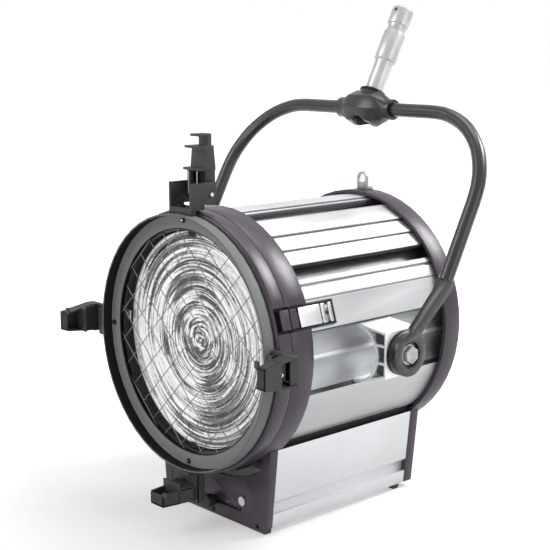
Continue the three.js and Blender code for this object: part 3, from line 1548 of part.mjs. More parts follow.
function spigotClamp() {
  const half = CLAMP.length / 2;
  const waist = CLAMP.waistLength / 2;
  const shoulder = half - CLAMP.collarLength;
  const body = turnedX([
    [0, -shoulder],
    [CLAMP.collarRadius, -shoulder],
    [CLAMP.radius, -waist],
    [CLAMP.radius, waist],
    [CLAMP.collarRadius, shoulder],
    [0, shoulder],
  ], CLAMP.sides).rotateX(Math.PI / CLAMP.sides);
  const collars = barrelX(CLAMP.collarRadius, -half, half, MEDIUM_FACETS);
  const pad = barrelZ(CLAMP.padRadius, 0, CLAMP.radius, MEDIUM_FACETS);
  return cut(join(body, collars, pad),
    barrelX(TUBE_RADIUS + SEAT, -half - OVERRUN, half + OVERRUN, MEDIUM_FACETS),
    barrelZ(SPIGOT.stud + SEAT, 0, CLAMP.radius + OVERRUN, SMALL_FACETS),
    barrelZ(CLAMP.holeRadius, -CLAMP.radius - OVERRUN, -CLAMP.holeFloor, MEDIUM_FACETS));
}

add(spigotSide, 'spigot_clamp', spigotClamp(), BLACK);

function spigot() {
  const seat = CLAMP.radius + SEAT;
  const top = seat + SPIGOT.length;
  const groove = SPIGOT.radius - SPIGOT.grooveDepth;
  const form = turnedZ([
    [0, seat - SPIGOT.studLength],
    [SPIGOT.stud, seat - SPIGOT.studLength],
    [SPIGOT.stud, seat],
    [SPIGOT.neckRadius, seat],
    [SPIGOT.neckRadius, seat + SPIGOT.shankEnd],
    [SPIGOT.radius, seat + SPIGOT.shankEnd + SPIGOT.tipBevel],
    [SPIGOT.radius, seat + SPIGOT.grooveStart],
    [groove, seat + SPIGOT.grooveStart],
    [groove, seat + SPIGOT.grooveStart + SPIGOT.grooveLength],
    [SPIGOT.radius, seat + SPIGOT.grooveStart + SPIGOT.grooveLength],
    [SPIGOT.radius, top - SPIGOT.tipBevel],
    [SPIGOT.radius - SPIGOT.tipBevel, top],
    [0, top],
  ], MEDIUM_FACETS);
  const hole = barrel(SPIGOT.crossHole, -SPIGOT.radius - OVERRUN, SPIGOT.radius + OVERRUN, SMALL_FACETS);
  return cut(form, hole.translate(0, 0, top - SPIGOT.crossHoleDrop));
}

add(spigotSide, 'spigot', spigot(), ALUMINIUM);

export default light;
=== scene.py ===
"""Looks of a tungsten fresnel light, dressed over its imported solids.

Metres, +Z up, and the light shines along -Y. Sizes are written in millimetres and
turned to metres by one factor. The head's pieces are placed from the optical axis and
the front face of the lens door, as the solids are.
"""
import math

import bmesh
import bpy
from mathutils import Matrix, Vector


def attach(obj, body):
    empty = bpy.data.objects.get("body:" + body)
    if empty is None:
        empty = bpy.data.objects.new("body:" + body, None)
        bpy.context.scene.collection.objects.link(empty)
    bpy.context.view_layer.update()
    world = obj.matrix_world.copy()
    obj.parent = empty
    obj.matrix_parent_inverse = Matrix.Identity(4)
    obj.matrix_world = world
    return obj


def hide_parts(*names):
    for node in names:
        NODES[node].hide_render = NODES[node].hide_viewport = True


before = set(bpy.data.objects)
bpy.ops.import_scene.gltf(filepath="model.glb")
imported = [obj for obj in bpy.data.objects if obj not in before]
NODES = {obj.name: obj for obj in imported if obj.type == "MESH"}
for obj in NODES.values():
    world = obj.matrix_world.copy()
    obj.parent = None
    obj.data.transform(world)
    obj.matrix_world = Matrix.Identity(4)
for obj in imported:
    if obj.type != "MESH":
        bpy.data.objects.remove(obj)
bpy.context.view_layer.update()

MM = 0.001

# Camera, solved from the round edges and the uprights that the photograph shows
CAMERA_PLACE = (1.10511, -1.0337, 0.56127)
CAMERA_AZIMUTH = math.radians(47.49)
CAMERA_ELEVATION = math.radians(10.78)
FOCAL_LENGTH = 81.51
SENSOR_WIDTH = 36

# Head frame: the door's front face and the optical axis, from the origin under the base
DOOR_FRONT = -156.5
AXIS_HEIGHT = 214.0
TILT_HEIGHT = 210.0
YOKE_LEAN = math.radians(28)
FLOOR_LEVEL = -7.9

# Lens: a flat back and thirteen stepped rings
LENS_RADIUS = 130.0
LENS_BACK = 18.2
LENS_EDGE = 3.0
LENS_RISE = 4.6
LENS_RINGS = 13
LENS_RING_SAMPLES = 8
LENS_FIRST_FALL = 0.3
LENS_SAMPLES_AROUND = 145

# Wire guard: its rim, and the net's pitch, wire radius and place behind the door's face
GUARD_RADIUS = 136.0
GUARD_PITCH = 26.0
GUARD_WIRE = 0.55
GUARD_DEPTH = 1.1

# The body's rear face, the base's front face, and the catch's place round from the top
BODY_END = 304.9
BASE_FRONT = 35.5
CATCH_ANGLE = 72.0

# Folded ears: the depths of their tip, cross wall, shoulder and root, from the door's face
EAR_TIP = -51.9
EAR_MIDDLE = -29.0
EAR_SHOULDER = -13.3
EAR_ROOT = -2.7
# How far out from the axis their feet and their outer face are
EAR_FOOT = 151.6
EAR_OUTER = 190.5
# Their sheet's thickness, and their half width at the tip and from the shoulder on
EAR_SHEET = 2.6
EAR_TIP_HALF_WIDTH = 13.5
EAR_HALF_WIDTH = 20.0
# Their lower edge stands at this share of the half width, the upper one at all of it
EAR_LOWER_SHARE = 0.72
# The lower ear stands nearer the axis by the height of its foot
EAR_DROP = 4.5

# Yoke frame: the tube's arms, the top of the cast eyes and the clamp's middle
ARM_RIGHT = 216.0
ARM_LEFT = -221.0
EYE_TOP = 92.0
CLAMP_HEIGHT = 297.5
CLAMP_RADIUS = 22.5

# Solids are shaded smooth below the first angle, and rounded at edges sharper than the second
SMOOTH_ANGLE = math.radians(32)
ROUNDED_ANGLE = math.radians(34)

# A colour mix takes its two colours at these inputs, and gives one at this output
MIX_FIRST = 6
MIX_SECOND = 7
MIX_RESULT = 2

# A noise node's values lie mostly between these two
NOISE_LOW = 0.35
NOISE_HIGH = 0.65


def head_point(x, y, z):
    """A point of the head frame, in metres."""
    return Vector((x, y + DOOR_FRONT, z + AXIS_HEIGHT)) * MM


def head_matrix(x=0, y=0, z=0):
    """A move to a point of the head frame, in metres."""
    return Matrix.Translation(head_point(x, y, z))


def yoke_matrix():
    """The yoke's upright frame, leaned back about the tilt axis, in metres."""
    return Matrix.Translation((0, 0, TILT_HEIGHT * MM)) @ Matrix.Rotation(-YOKE_LEAN, 4, "X")


# Camera, floor and light

def place_camera():
    """A camera that sees the object as the photograph shows it."""
    right = Vector((math.cos(CAMERA_AZIMUTH), math.sin(CAMERA_AZIMUTH), 0))
    back = Vector((math.sin(CAMERA_AZIMUTH) * math.cos(CAMERA_ELEVATION),
                   -math.cos(CAMERA_AZIMUTH) * math.cos(CAMERA_ELEVATION),
                   math.sin(CAMERA_ELEVATION)))
    up = back.cross(right)
    data = bpy.data.cameras.new("camera")
    data.lens = FOCAL_LENGTH
    data.sensor_width = SENSOR_WIDTH
    data.clip_end = 30
    camera = bpy.data.objects.new("camera", data)
    turn = Matrix((right, up, back)).transposed().to_4x4()
    camera.matrix_world = Matrix.Translation(CAMERA_PLACE) @ turn
    bpy.context.collection.objects.link(camera)
    bpy.context.scene.camera = camera


def srgb(code):
    """A linear colour from a hex code in sRGB."""
    channels = [int(code[i:i + 2], 16) / 255 for i in (1, 3, 5)]
    linear = [c / 12.92 if c <= 0.04045 else ((c + 0.055) / 1.055) ** 2.4 for c in channels]
    return (*linear, 1.0)


def add_node(tree, kind, props=None, values=None, links=None):
    """Adds a node with its settings, its socket values and the nodes or outputs that feed it."""
    made = tree.nodes.new(kind)
    for name, value in (props or {}).items():
        setattr(made, name, value)
    for socket, value in (values or {}).items():
        made.inputs[socket].default_value = value
    for socket, source in (links or {}).items():
        output = source.outputs[0] if isinstance(source, bpy.types.Node) else source
        tree.links.new(output, made.inputs[socket])
    return made


def shown_to_eye(tree):
    """1 for rays that see the backdrop: the camera's, and those off metal or through glass."""
    path = add_node(tree, "ShaderNodeLightPath")
    first = add_node(tree, "ShaderNodeMath", {"operation": "MAXIMUM"}, links={
        0: path.outputs["Is Camera Ray"], 1: path.outputs["Is Glossy Ray"]})
    return add_node(tree, "ShaderNodeMath", {"operation": "MAXIMUM"}, links={
        0: first, 1: path.outputs["Is Transmission Ray"]})


def light_studio():
    """Soft room light and five soft boxes, each given its size in metres and its watts."""
    world = bpy.data.worlds.new("studio")
    world.use_nodes = True
    bpy.context.scene.world = world
    tree = world.node_tree
    tree.nodes.clear()
    # Soft room light for the surfaces, and a plain white surround for the eye
    room = add_node(tree, "ShaderNodeBackground", values={
        "Color": srgb("#f4f6f8"), "Strength": 0.38})
    surround = add_node(tree, "ShaderNodeBackground", values={
        "Color": (1, 1, 1, 1), "Strength": 1.0})
    mixed = add_node(tree, "ShaderNodeMixShader", links={
        0: shown_to_eye(tree), 1: room, 2: surround})
    add_node(tree, "ShaderNodeOutputWorld", links={"Surface": mixed})

    def soft_box(name, place, target, size, watts):
        data = bpy.data.lights.new(name, "AREA")
        data.shape = "RECTANGLE"
        data.size, data.size_y = size
        data.energy = watts
        lamp = bpy.data.objects.new(name, data)
        lamp.location = place
        aim = Vector(target) - Vector(place)
        lamp.rotation_euler = aim.to_track_quat("-Z", "Y").to_euler()
        bpy.context.collection.objects.link(lamp)

    middle = (0, 0, 0.22)
    soft_box("overhead", (-0.1, 0.4, 2.2), middle, (1.1, 1.1), 16)
    # Off the upper right of the castings this one gives their pale band to the eye
    soft_box("behind_right", (0.85, 1.7, 1.95), middle, (0.9, 0.9), 64)
    soft_box("right_side", (2.2, 0.3, 0.8), middle, (1.2, 1.2), 9)
    soft_box("front_left", (-0.9, -1.8, 1.7), middle, (1.3, 1.2), 24)
    soft_box("front_low", (0.5, -2.3, 0.35), (0, 0, 0.1), (0.9, 0.6), 16)


def lay_floor():
    """A white paper sweep under the feet, its edges 12 m away."""
    level = FLOOR_LEVEL * MM
    reach = 12
    mesh = bpy.data.meshes.new("floor")
    corners = [(-reach, -reach, level), (reach, -reach, level),
               (reach, reach, level), (-reach, reach, level)]
    mesh.from_pydata(corners, [], [(0, 1, 2, 3)])
    floor = bpy.data.objects.new("floor", mesh)
    bpy.context.collection.objects.link(floor)
    paper = bpy.data.materials.new("white_paper_sweep")
    paper.use_nodes = True
    tree = paper.node_tree
    tree.nodes.clear()
    matt = add_node(tree, "ShaderNodeBsdfDiffuse", values={"Color": srgb("#c8c8c8")})
    # Light of its own for the eye alone, more of it away from the object, so that the sweep
    # meets the surround and the shadow stays
    place = add_node(tree, "ShaderNodeTexCoord").outputs["Object"]
    away = add_node(tree, "ShaderNodeVectorMath", {"operation": "LENGTH"}, links={0: place})
    own_light = add_node(tree, "ShaderNodeMapRange", {"interpolation_type": "SMOOTHSTEP"}, {
        "From Min": 0.25, "From Max": 0.8, "To Min": 0.4, "To Max": 1.0}, {
        "Value": away.outputs["Value"]})
    glow = add_node(tree, "ShaderNodeEmission", values={"Color": (1, 1, 1, 1)}, links={
        "Strength": own_light})
    dark = add_node(tree, "ShaderNodeEmission", values={"Color": (0, 0, 0, 1), "Strength": 0.0})
    seen = add_node(tree, "ShaderNodeMixShader", links={0: shown_to_eye(tree), 1: dark, 2: glow})
    both = add_node(tree, "ShaderNodeAddShader", links={0: matt, 1: seen})
    add_node(tree, "ShaderNodeOutputMaterial", links={"Surface": both})
    mesh.materials.append(paper)


# Materials

def new_material(name):
    """A material with one shader on its output, and its node tree and shader."""
    material = bpy.data.materials.new(name)
    material.use_nodes = True
    tree = material.node_tree
    tree.nodes.clear()
    shader = add_node(tree, "ShaderNodeBsdfPrincipled")
    add_node(tree, "ShaderNodeOutputMaterial", links={"Surface": shader})
    return material, tree, shader


def measures(tree, place):
    """Where a point of the head is, in three measures.

    They are millimetres out from the optical axis, millimetres behind the door's front face,
    and degrees round from the top, either way.
    """
    parts = add_node(tree, "ShaderNodeSeparateXYZ", links={0: place})
    across = add_node(tree, "ShaderNodeMath", {"operation": "ABSOLUTE"}, links={
        0: parts.outputs["X"]})
    height = add_node(tree, "ShaderNodeMath", {"operation": "SUBTRACT"}, {1: AXIS_HEIGHT * MM}, {
        0: parts.outputs["Z"]})
    spoke = add_node(tree, "ShaderNodeCombineXYZ", links={"X": across, "Z": height})
    length = add_node(tree, "ShaderNodeVectorMath", {"operation": "LENGTH"}, links={0: spoke})
    radius = add_node(tree, "ShaderNodeMath", {"operation": "DIVIDE"}, {1: MM}, {
        0: length.outputs["Value"]})
    turn = add_node(tree, "ShaderNodeMath", {"operation": "ARCTAN2"}, links={0: across, 1: height})
    clock = add_node(tree, "ShaderNodeMath", {"operation": "DEGREES"}, links={0: turn})
    behind = add_node(tree, "ShaderNodeMath", {"operation": "DIVIDE"}, {1: MM}, {
        0: parts.outputs["Y"]})
    depth = add_node(tree, "ShaderNodeMath", {"operation": "SUBTRACT"}, {1: DOOR_FRONT}, {
        0: behind})
    return {"radius": radius, "depth": depth, "clock": clock}


def finish(name, base, other, roughness, drift_mm, grain_mm, depth_mm,
           along=(1, 1, 1), bands=(), **sockets):
    """A surface whose shade drifts between two colours over drift_mm, and whose skin has a
    relief of grain_mm across and depth_mm deep, which also varies its roughness a little.

    along draws the relief out along an axis, as rolling, drawing and extruding do. Each
    band (measure, low, high, colour) gives a stretch of one of the measures its own colour,
    and a later band lies over an earlier one. sockets are the shader's, in small letters.
    """
    material, tree, shader = new_material(name)
    place = add_node(tree, "ShaderNodeTexCoord").outputs["Object"]
    drawn = add_node(tree, "ShaderNodeMapping", values={"Scale": along}, links={"Vector": place})
    drift = add_node(tree, "ShaderNodeTexNoise", values={
        "Scale": 1 / (drift_mm * MM), "Detail": 2.0}, links={"Vector": place})
    skin = add_node(tree, "ShaderNodeTexNoise", values={
        "Scale": 1 / (grain_mm * MM), "Detail": 2.5}, links={"Vector": drawn})
    tone = add_node(tree, "ShaderNodeMapRange", values={
        "From Min": NOISE_LOW, "From Max": NOISE_HIGH}, links={"Value": drift})
    colour = add_node(tree, "ShaderNodeMix", {"data_type": "RGBA"}, {
        MIX_FIRST: srgb(base), MIX_SECOND: srgb(other)}, {0: tone})
    where = measures(tree, place) if bands else {}
    for measure, low, high, shade in bands:
        # Compare gives 1 within half the band's width of its middle
        inside = add_node(tree, "ShaderNodeMath", {"operation": "COMPARE"}, {
            1: (low + high) / 2, 2: (high - low) / 2}, {0: where[measure]})
        colour = add_node(tree, "ShaderNodeMix", {"data_type": "RGBA"}, {
            MIX_SECOND: srgb(shade)}, {0: inside, MIX_FIRST: colour.outputs[MIX_RESULT]})
    gloss = add_node(tree, "ShaderNodeMapRange", values={
        "From Min": NOISE_LOW, "From Max": NOISE_HIGH,
        "To Min": roughness - 0.05, "To Max": roughness + 0.06}, links={"Value": skin})
    relief = add_node(tree, "ShaderNodeBump", values={
        "Distance": depth_mm * MM, "Strength": 0.5}, links={"Height": skin})
    tree.links.new(colour.outputs[MIX_RESULT], shader.inputs["Base Color"])
    tree.links.new(gloss.outputs[0], shader.inputs["Roughness"])
    tree.links.new(relief.outputs[0], shader.inputs["Normal"])
    for label, value in sockets.items():
        socket = label.replace("_", " ").title().replace("Ior", "IOR")
        shader.inputs[socket].default_value = value
    return material


def pressed_glass():
    """Pressed borosilicate glass over a stippled back.

    The turned mould leaves marks that run round the lens, about 1 mm apart and drawn 2.8 mm
    apart so that they show, and broad swirls 22 mm apart. The stipple's 3 mm bumps are drawn
    5 mm across. Together they give bright arcs of painted light on a mottled grey, and a painted
    reflection of the reflector whitens the outer rings.
    """
    material, tree, shader = new_material("pressed_borosilicate_glass")
    place = add_node(tree, "ShaderNodeTexCoord").outputs["Object"]
    parts = add_node(tree, "ShaderNodeSeparateXYZ", links={0: place})
    height = add_node(tree, "ShaderNodeMath", {"operation": "SUBTRACT"}, {1: AXIS_HEIGHT * MM}, {
        0: parts.outputs["Z"]})
    spoke = add_node(tree, "ShaderNodeCombineXYZ", links={"X": parts.outputs["X"], "Z": height})
    radius = add_node(tree, "ShaderNodeVectorMath", {"operation": "LENGTH"}, links={0: spoke})
    heading = add_node(tree, "ShaderNodeVectorMath", {"operation": "NORMALIZE"}, links={0: spoke})
    # Pitch outwards, how much the marks change round the lens, the stretch of the noise that
    # shows, and how bright they are at most
    fine_marks = (2.8, 1.0, 0.44, 0.58, 1.1)
    broad_swirls = (22.0, 0.75, 0.42, 0.6, 0.6)
    tones = []
    for pitch_mm, sweep, low, high, most in (fine_marks, broad_swirls):
        turns = add_node(tree, "ShaderNodeMath", {"operation": "DIVIDE"}, {1: pitch_mm * MM}, {
            0: radius.outputs["Value"]})
        outward = add_node(tree, "ShaderNodeCombineXYZ", links={"Y": turns})
        swept = add_node(tree, "ShaderNodeVectorMath", {"operation": "SCALE"}, {"Scale": sweep}, {
            0: heading})
        spot = add_node(tree, "ShaderNodeVectorMath", {"operation": "ADD"}, links={
            0: swept, 1: outward})
        marks = add_node(tree, "ShaderNodeTexNoise", values={"Scale": 1.0, "Detail": 1.0}, links={
            "Vector": spot})
        tones.append(add_node(tree, "ShaderNodeMapRange", values={
            "From Min": low, "From Max": high, "To Max": most}, links={"Value": marks}))
    stipple = add_node(tree, "ShaderNodeTexNoise", values={
        "Scale": 1 / (5 * MM), "Detail": 2.0}, links={"Vector": place})
    # Painted reflection: the reflector's glow is painted into the outer rings as white, most of
    # all to the upper right and lower left
    painted_glow_angle = math.radians(60)
    lean = Vector((math.sin(painted_glow_angle), 0, math.cos(painted_glow_angle)))
    aimed = add_node(tree, "ShaderNodeVectorMath", {"operation": "DOT_PRODUCT"}, {1: lean}, {
        0: heading})
    either_way = add_node(tree, "ShaderNodeMath", {"operation": "ABSOLUTE"}, links={
        0: aimed.outputs["Value"]})
    both_ways = add_node(tree, "ShaderNodeMath", {"operation": "POWER"}, {1: 2.0}, {0: either_way})
    rim_share = add_node(tree, "ShaderNodeMath", {"operation": "DIVIDE"}, {1: LENS_RADIUS * MM}, {
        0: radius.outputs["Value"]})
    glow = add_node(tree, "ShaderNodeMath", {"operation": "MULTIPLY"}, links={
        0: both_ways, 1: rim_share})
    tone = add_node(tree, "ShaderNodeMath", {"operation": "MULTIPLY"}, {1: 1.1}, {0: glow})
    for part in tones + [stipple]:
        tone = add_node(tree, "ShaderNodeMath", {"operation": "ADD"}, links={0: tone, 1: part})
    spread = add_node(tree, "ShaderNodeMapRange", values={
        "From Min": 1.05, "From Max": 1.95}, links={"Value": tone})
    colour = add_node(tree, "ShaderNodeMix", {"data_type": "RGBA"}, {
        MIX_FIRST: srgb("#34383a"), MIX_SECOND: srgb("#ffffff")}, {0: spread})
    relief = add_node(tree, "ShaderNodeBump", values={
        "Distance": 0.7 * MM, "Strength": 0.5}, links={"Height": tone})
    tree.links.new(colour.outputs[MIX_RESULT], shader.inputs["Base Color"])
    tree.links.new(relief.outputs[0], shader.inputs["Normal"])
    shader.inputs["Transmission Weight"].default_value = 0.1
    shader.inputs["Roughness"].default_value = 0.16
    shader.inputs["IOR"].default_value = 1.47
    return material


# Baked powder coat: satin, with a fine orange peel about 1.6 mm across. It is black in the
# door's bore, within 138 mm of the axis
AUBERGINE = finish("aubergine_powder_coat", "#322733", "#392f3a", 0.35, 90, 1.6, 0.04,
                   bands=[("radius", 0, 138, "#0c0c0d")], specular_ior_level=0.4)
# The same coat in black, with a finer and duller peel
BLACK_COAT = finish("black_powder_coat", "#29292a", "#303031", 0.5, 60, 1.2, 0.05,
                    specular_ior_level=0.35)
# The ring's coat: black, painted a dull grey as the light that falls on its faces, with painted
# shade inside its rim and on the inner wall of its flange, and a painted highlight on its rim's
# front edge
RING_COAT = finish("black_ring_coat_painted_light", "#686969", "#707171", 0.55, 60, 1.2, 0.05,
                   bands=[("radius", 148.9, 150.2, "#08080a"), ("radius", 131, 133.6, "#0a0a0b"),
                          ("depth", -17, -16.0, "#5c5d5e")],
                   specular_ior_level=0.2)
# Stoved enamel on the yoke: a little glossier and smoother than powder coat
YOKE_COAT = finish("yoke_black_enamel", "#18181a", "#1f1f20", 0.3, 70, 1.4, 0.02, ior=1.5)
# Anodised extrusion: die lines are about 0.1 mm apart, drawn 0.8 mm apart so that they show
EXTRUSION = finish("anodised_aluminium_extrusion", "#e6e7e8", "#dddedf", 0.44, 120, 0.8, 0.02,
                   along=(1, 0.012, 1), metallic=0.6)
# The base's sheet sides: the same colour, rolled to a slightly greyer skin
BASE_SHEET = finish("anodised_aluminium_sheet", "#d2d3d5", "#cacbcd", 0.46, 160, 0.8, 0.02,
                    along=(1, 0.012, 1), metallic=0.75)
# The body's panels: the same, with painted shade in their grooves and at their beads, and their
# sides painted greyer as shade, from and to so many degrees round from the top
PANEL_PAINTED_SHADES = [
    (7.2, 8.2, "#7c7e81"), (9.7, 11.0, "#7c7e81"), (18.0, 19.6, "#8d8f92"),
    (31.3, 32.6, "#77797c"), (40.3, 41.6, "#77797c"), (48.3, 49.6, "#77797c"),
    (56.0, 56.9, "#8d8f92"), (57.9, 59.9, "#8d8f92"), (64.8, 65.7, "#7c7e81"),
    (66.0, 78.6, "#b2b3b5"), (79.3, 90.6, "#a2a4a6"), (92.6, 107.2, "#a5a7a9"),
    (78.7, 79.6, "#4a4c4e"), (106.7, 107.7, "#4a4c4e"), (107.7, 138, "#b6b7b9")]
PANEL = finish("anodised_aluminium_panel", "#cccdcf", "#c3c4c6", 0.46, 140, 0.8, 0.02,
               along=(1, 0.012, 1), bands=[("clock", *shade) for shade in PANEL_PAINTED_SHADES],
               metallic=0.75)
# The catch's bolt: bright on its block, with painted shade, near black, on the tongue that
# reaches into the keeper
BOLT = finish("machined_aluminium_bolt", "#cfd0d2", "#c4c5c7", 0.36, 20, 0.8, 0.01,
              bands=[("depth", 0, 37.8, "#0e0e0f")], metallic=0.7)
# Hard-anodised channel of the catch: dark grey and even. The same dark grey is painted shade in
# the cells of the tilt brackets
DARK_ALUMINIUM = finish("dark_anodised_aluminium", "#2f3031", "#37383a", 0.5, 20, 0.8, 0.02,
                        metallic=0.3)
# Turned bar, clear anodised: an even satin grey with faint tool marks
BRIGHT_ALUMINIUM = finish("turned_aluminium_bar", "#b6b7b8", "#a8a9ab", 0.38, 20, 0.8, 0.01,
                          metallic=0.6)
# Zinc plate, bright with faint handling marks
BRIGHT_STEEL = finish("bright_zinc_plated_steel", "#d0d1d3", "#b9babc", 0.26, 14, 1.2, 0.01,
                      metallic=1.0)
# Zinc plate gone dull with heat and handling
DULL_STEEL = finish("dull_zinc_plated_steel", "#a2a3a5", "#8d8e90", 0.46, 10, 1.4, 0.015,
                    metallic=0.9)
# Drawn wire: an even dark grey with a little gloss
WIRE = finish("drawn_steel_wire", "#77787a", "#8a8b8d", 0.35, 30, 1.0, 0.01, metallic=1.0)
# Rolled aluminised sheet, dulled by heat
SHEET = finish("rolled_aluminised_sheet", "#77787a", "#6a6b6d", 0.45, 40, 2.0, 0.02, metallic=0.9)
# Spun and polished bowl, with the faint waves of its spinning
MIRROR = finish("polished_reflector", "#f0f0f0", "#e8e8e8", 0.08, 30, 3.0, 0.005, metallic=1.0)
# Matt black oxide and moulded nylon, which show no gloss. The same black is painted shade in
# the seams round the ring and over the base, and on the lower ear's foot
TRIM = finish("blackened_trim", "#101011", "#161617", 0.6, 18, 0.8, 0.05, specular_ior_level=0.25)
# Moulded rubber: dull and dark
RUBBER = finish("moulded_rubber_feet", "#3a363b", "#333034", 0.75, 18, 1.0, 0.06)
# Drawn tungsten: an even metallic grey
TUNGSTEN = finish("drawn_tungsten_wire", "#8e8f92", "#7f8083", 0.35, 4, 0.6, 0.005, metallic=1.0)
# Quartz tube of the lamp: clear, with a faint waviness from drawing
QUARTZ = finish("clear_quartz_tube", "#fbfdfd", "#f6f9f9", 0.06, 30, 12.0, 0.02,
                transmission_weight=1.0, ior=1.46)
# Steatite: off-white, fired and faintly speckled
CERAMIC = finish("fired_steatite", "#d9d4c8", "#ccc6b8", 0.45, 2.5, 1.0, 0.04)
LENS_GLASS = pressed_glass()
# The steps between the rings keep the grain of the mould, and catch the light as thin lines
LENS_STEP = finish("moulded_glass_step", "#f4f6f6", "#e6e9e9", 0.4, 9, 2.0, 0.1,
                   transmission_weight=0.2, ior=1.47)

NODE_FINISH = {
    AUBERGINE: ["lens_door", "front_casting", "rear_casting", "catch_keeper", "base_front_casting",
                "base_rear_casting"],
    RING_COAT: ["accessory_ring"],
    BLACK_COAT: ["ear_right", "ear_bottom", "ear_left", "latch_bracket", "latch_flap",
                 "rear_cover", "focus_lever", "tilt_lock_lever"],
    YOKE_COAT: ["yoke_tube", "yoke_eye_right", "yoke_eye_left", "spigot_clamp"],
    PANEL: ["top_panel", "shoulder_panel_right", "shoulder_panel_left", "side_panel_right",
            "side_panel_left"],
    EXTRUSION: ["lamp_carriage", "tilt_bracket_right", "tilt_bracket_left"],
    BASE_SHEET: ["base_side_panel_right", "base_side_panel_left", "base_plate"],
    BOLT: ["catch_slider"],
    BRIGHT_ALUMINIUM: ["spigot"],
    BRIGHT_STEEL: ["wire_guard", "latch_pin", "hinge_pin", "catch_spring", "guide_rod_right",
                   "guide_rod_left", "reflector_strap"],
    DULL_STEEL: ["safety_eye", "pivot_bolt"],
    SHEET: ["heat_shield"],
    MIRROR: ["reflector"],
    DARK_ALUMINIUM: ["catch_channel"],
    TRIM: ["lens_retainer", "cable_gland", "friction_disc_right", "friction_disc_left"],
    RUBBER: ["foot_front_right", "foot_rear_right", "foot_front_left", "foot_rear_left"],
    TUNGSTEN: ["lamp_filament"],
    LENS_GLASS: ["lens"],
    QUARTZ: ["lamp_globe"],
    CERAMIC: ["lamp_holder", "lamp_base"],
}

# Edge rounding of the solids in millimetres, by how each is made
EDGE_ROUND = {
    0.9: ["lens_door", "front_casting", "rear_casting", "base_front_casting", "base_rear_casting",
          "spigot_clamp", "yoke_eye_right", "yoke_eye_left", "tilt_lock_lever"],
    0.5: ["accessory_ring", "latch_bracket", "latch_flap", "rear_cover", "catch_keeper",
          "catch_slider", "focus_lever", "tilt_bracket_right", "tilt_bracket_left", "spigot",
          "pivot_bolt", "safety_eye", "foot_front_right", "foot_rear_right", "foot_front_left",
          "foot_rear_left"],
    0.3: ["top_panel", "shoulder_panel_right", "shoulder_panel_left", "side_panel_right",
          "side_panel_left", "base_side_panel_right", "base_side_panel_left", "catch_channel",
          "catch_spring", "cable_gland", "lamp_holder", "lamp_base", "latch_pin", "hinge_pin"],
}


def smooth_by_angle_tree():
    """Shades a solid smooth where its faces meet at less than a named angle."""
    tree = bpy.data.node_groups.new("soften_facets", "GeometryNodeTree")
    tree.interface.new_socket("Geometry", in_out="INPUT", socket_type="NodeSocketGeometry")
    angle = tree.interface.new_socket("Smooth Angle", in_out="INPUT", socket_type="NodeSocketFloat")
    angle.default_value = SMOOTH_ANGLE
    tree.interface.new_socket("Geometry", in_out="OUTPUT", socket_type="NodeSocketGeometry")
    given = add_node(tree, "NodeGroupInput").outputs
    edge = add_node(tree, "GeometryNodeInputMeshEdgeAngle")
    small = add_node(tree, "FunctionNodeCompare", {
        "data_type": "FLOAT", "operation": "LESS_THAN"}, links={
        0: edge.outputs["Unsigned Angle"], 1: given["Smooth Angle"]})
    faces = add_node(tree, "GeometryNodeSetShadeSmooth", {"domain": "FACE"}, {
        "Shade Smooth": True}, {"Geometry": given["Geometry"]})
    edges = add_node(tree, "GeometryNodeSetShadeSmooth", {"domain": "EDGE"}, links={
        "Geometry": faces, "Shade Smooth": small})
    add_node(tree, "NodeGroupOutput", links={"Geometry": edges})
    return tree


SOFTEN = smooth_by_angle_tree()


def finish_edges(item, width_mm):
    """Welds and flattens a solid's triangles, rounds its edges and smooths its curves."""
    weld = item.modifiers.new("weld", "WELD")
    weld.merge_threshold = 0.002 * MM
    flatten = item.modifiers.new("flatten", "DECIMATE")
    flatten.decimate_type = "DISSOLVE"
    flatten.angle_limit = math.radians(0.5)
    if width_mm:
        edge = item.modifiers.new("edge_round", "BEVEL")
        edge.width = width_mm * MM
        edge.segments = 2
        edge.limit_method = "ANGLE"
        edge.angle_limit = ROUNDED_ANGLE
        edge.use_clamp_overlap = True
    soften = item.modifiers.new("soften_facets", "NODES")
    soften.node_group = SOFTEN


def dress_nodes():
    """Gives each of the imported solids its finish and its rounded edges."""
    width_of = {name: width for width, names in EDGE_ROUND.items() for name in names}
    for material, names in NODE_FINISH.items():
        for name in names:
            item = NODES[name]
            if not item.material_slots:
                item.data.materials.append(material)
            for place in item.material_slots:
                place.material = material
            finish_edges(item, width_of.get(name, 0))


# Pieces made by rule

def new_tree(name, inputs):
    """A node tree with named inputs, given as (name, socket type, value)."""
    tree = bpy.data.node_groups.new(name, "GeometryNodeTree")
    for label, kind, value in inputs:
        socket = tree.interface.new_socket(label, in_out="INPUT", socket_type=kind)
        if value is not None:
            socket.default_value = value
    tree.interface.new_socket("Geometry", in_out="OUTPUT", socket_type="NodeSocketGeometry")
    return tree


def baked(name, tree, settings, body, place=None, base=None):
    """Runs a tree on an empty or given mesh and keeps its result as a plain piece."""
    start = base or bpy.data.meshes.new(name + "_maker")
    carrier = bpy.data.objects.new(name + "_maker", start)
    bpy.context.collection.objects.link(carrier)
    maker = carrier.modifiers.new("maker", "NODES")
    maker.node_group = tree
    inputs = [item for item in tree.interface.items_tree if item.in_out == "INPUT"]
    identifiers = {item.name: item.identifier for item in inputs}
    for label, value in settings.items():
        maker[identifiers[label]] = value
    bpy.context.view_layer.update()
    graph = bpy.context.evaluated_depsgraph_get()
    mesh = bpy.data.meshes.new_from_object(carrier.evaluated_get(graph))
    carrier.modifiers.clear()
    bpy.data.objects.remove(carrier)
    if place is not None:
        mesh.transform(place)
    mesh.name = name
    piece = bpy.data.objects.new(name, mesh)
    bpy.context.collection.objects.link(piece)
    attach(piece, body)
    return piece


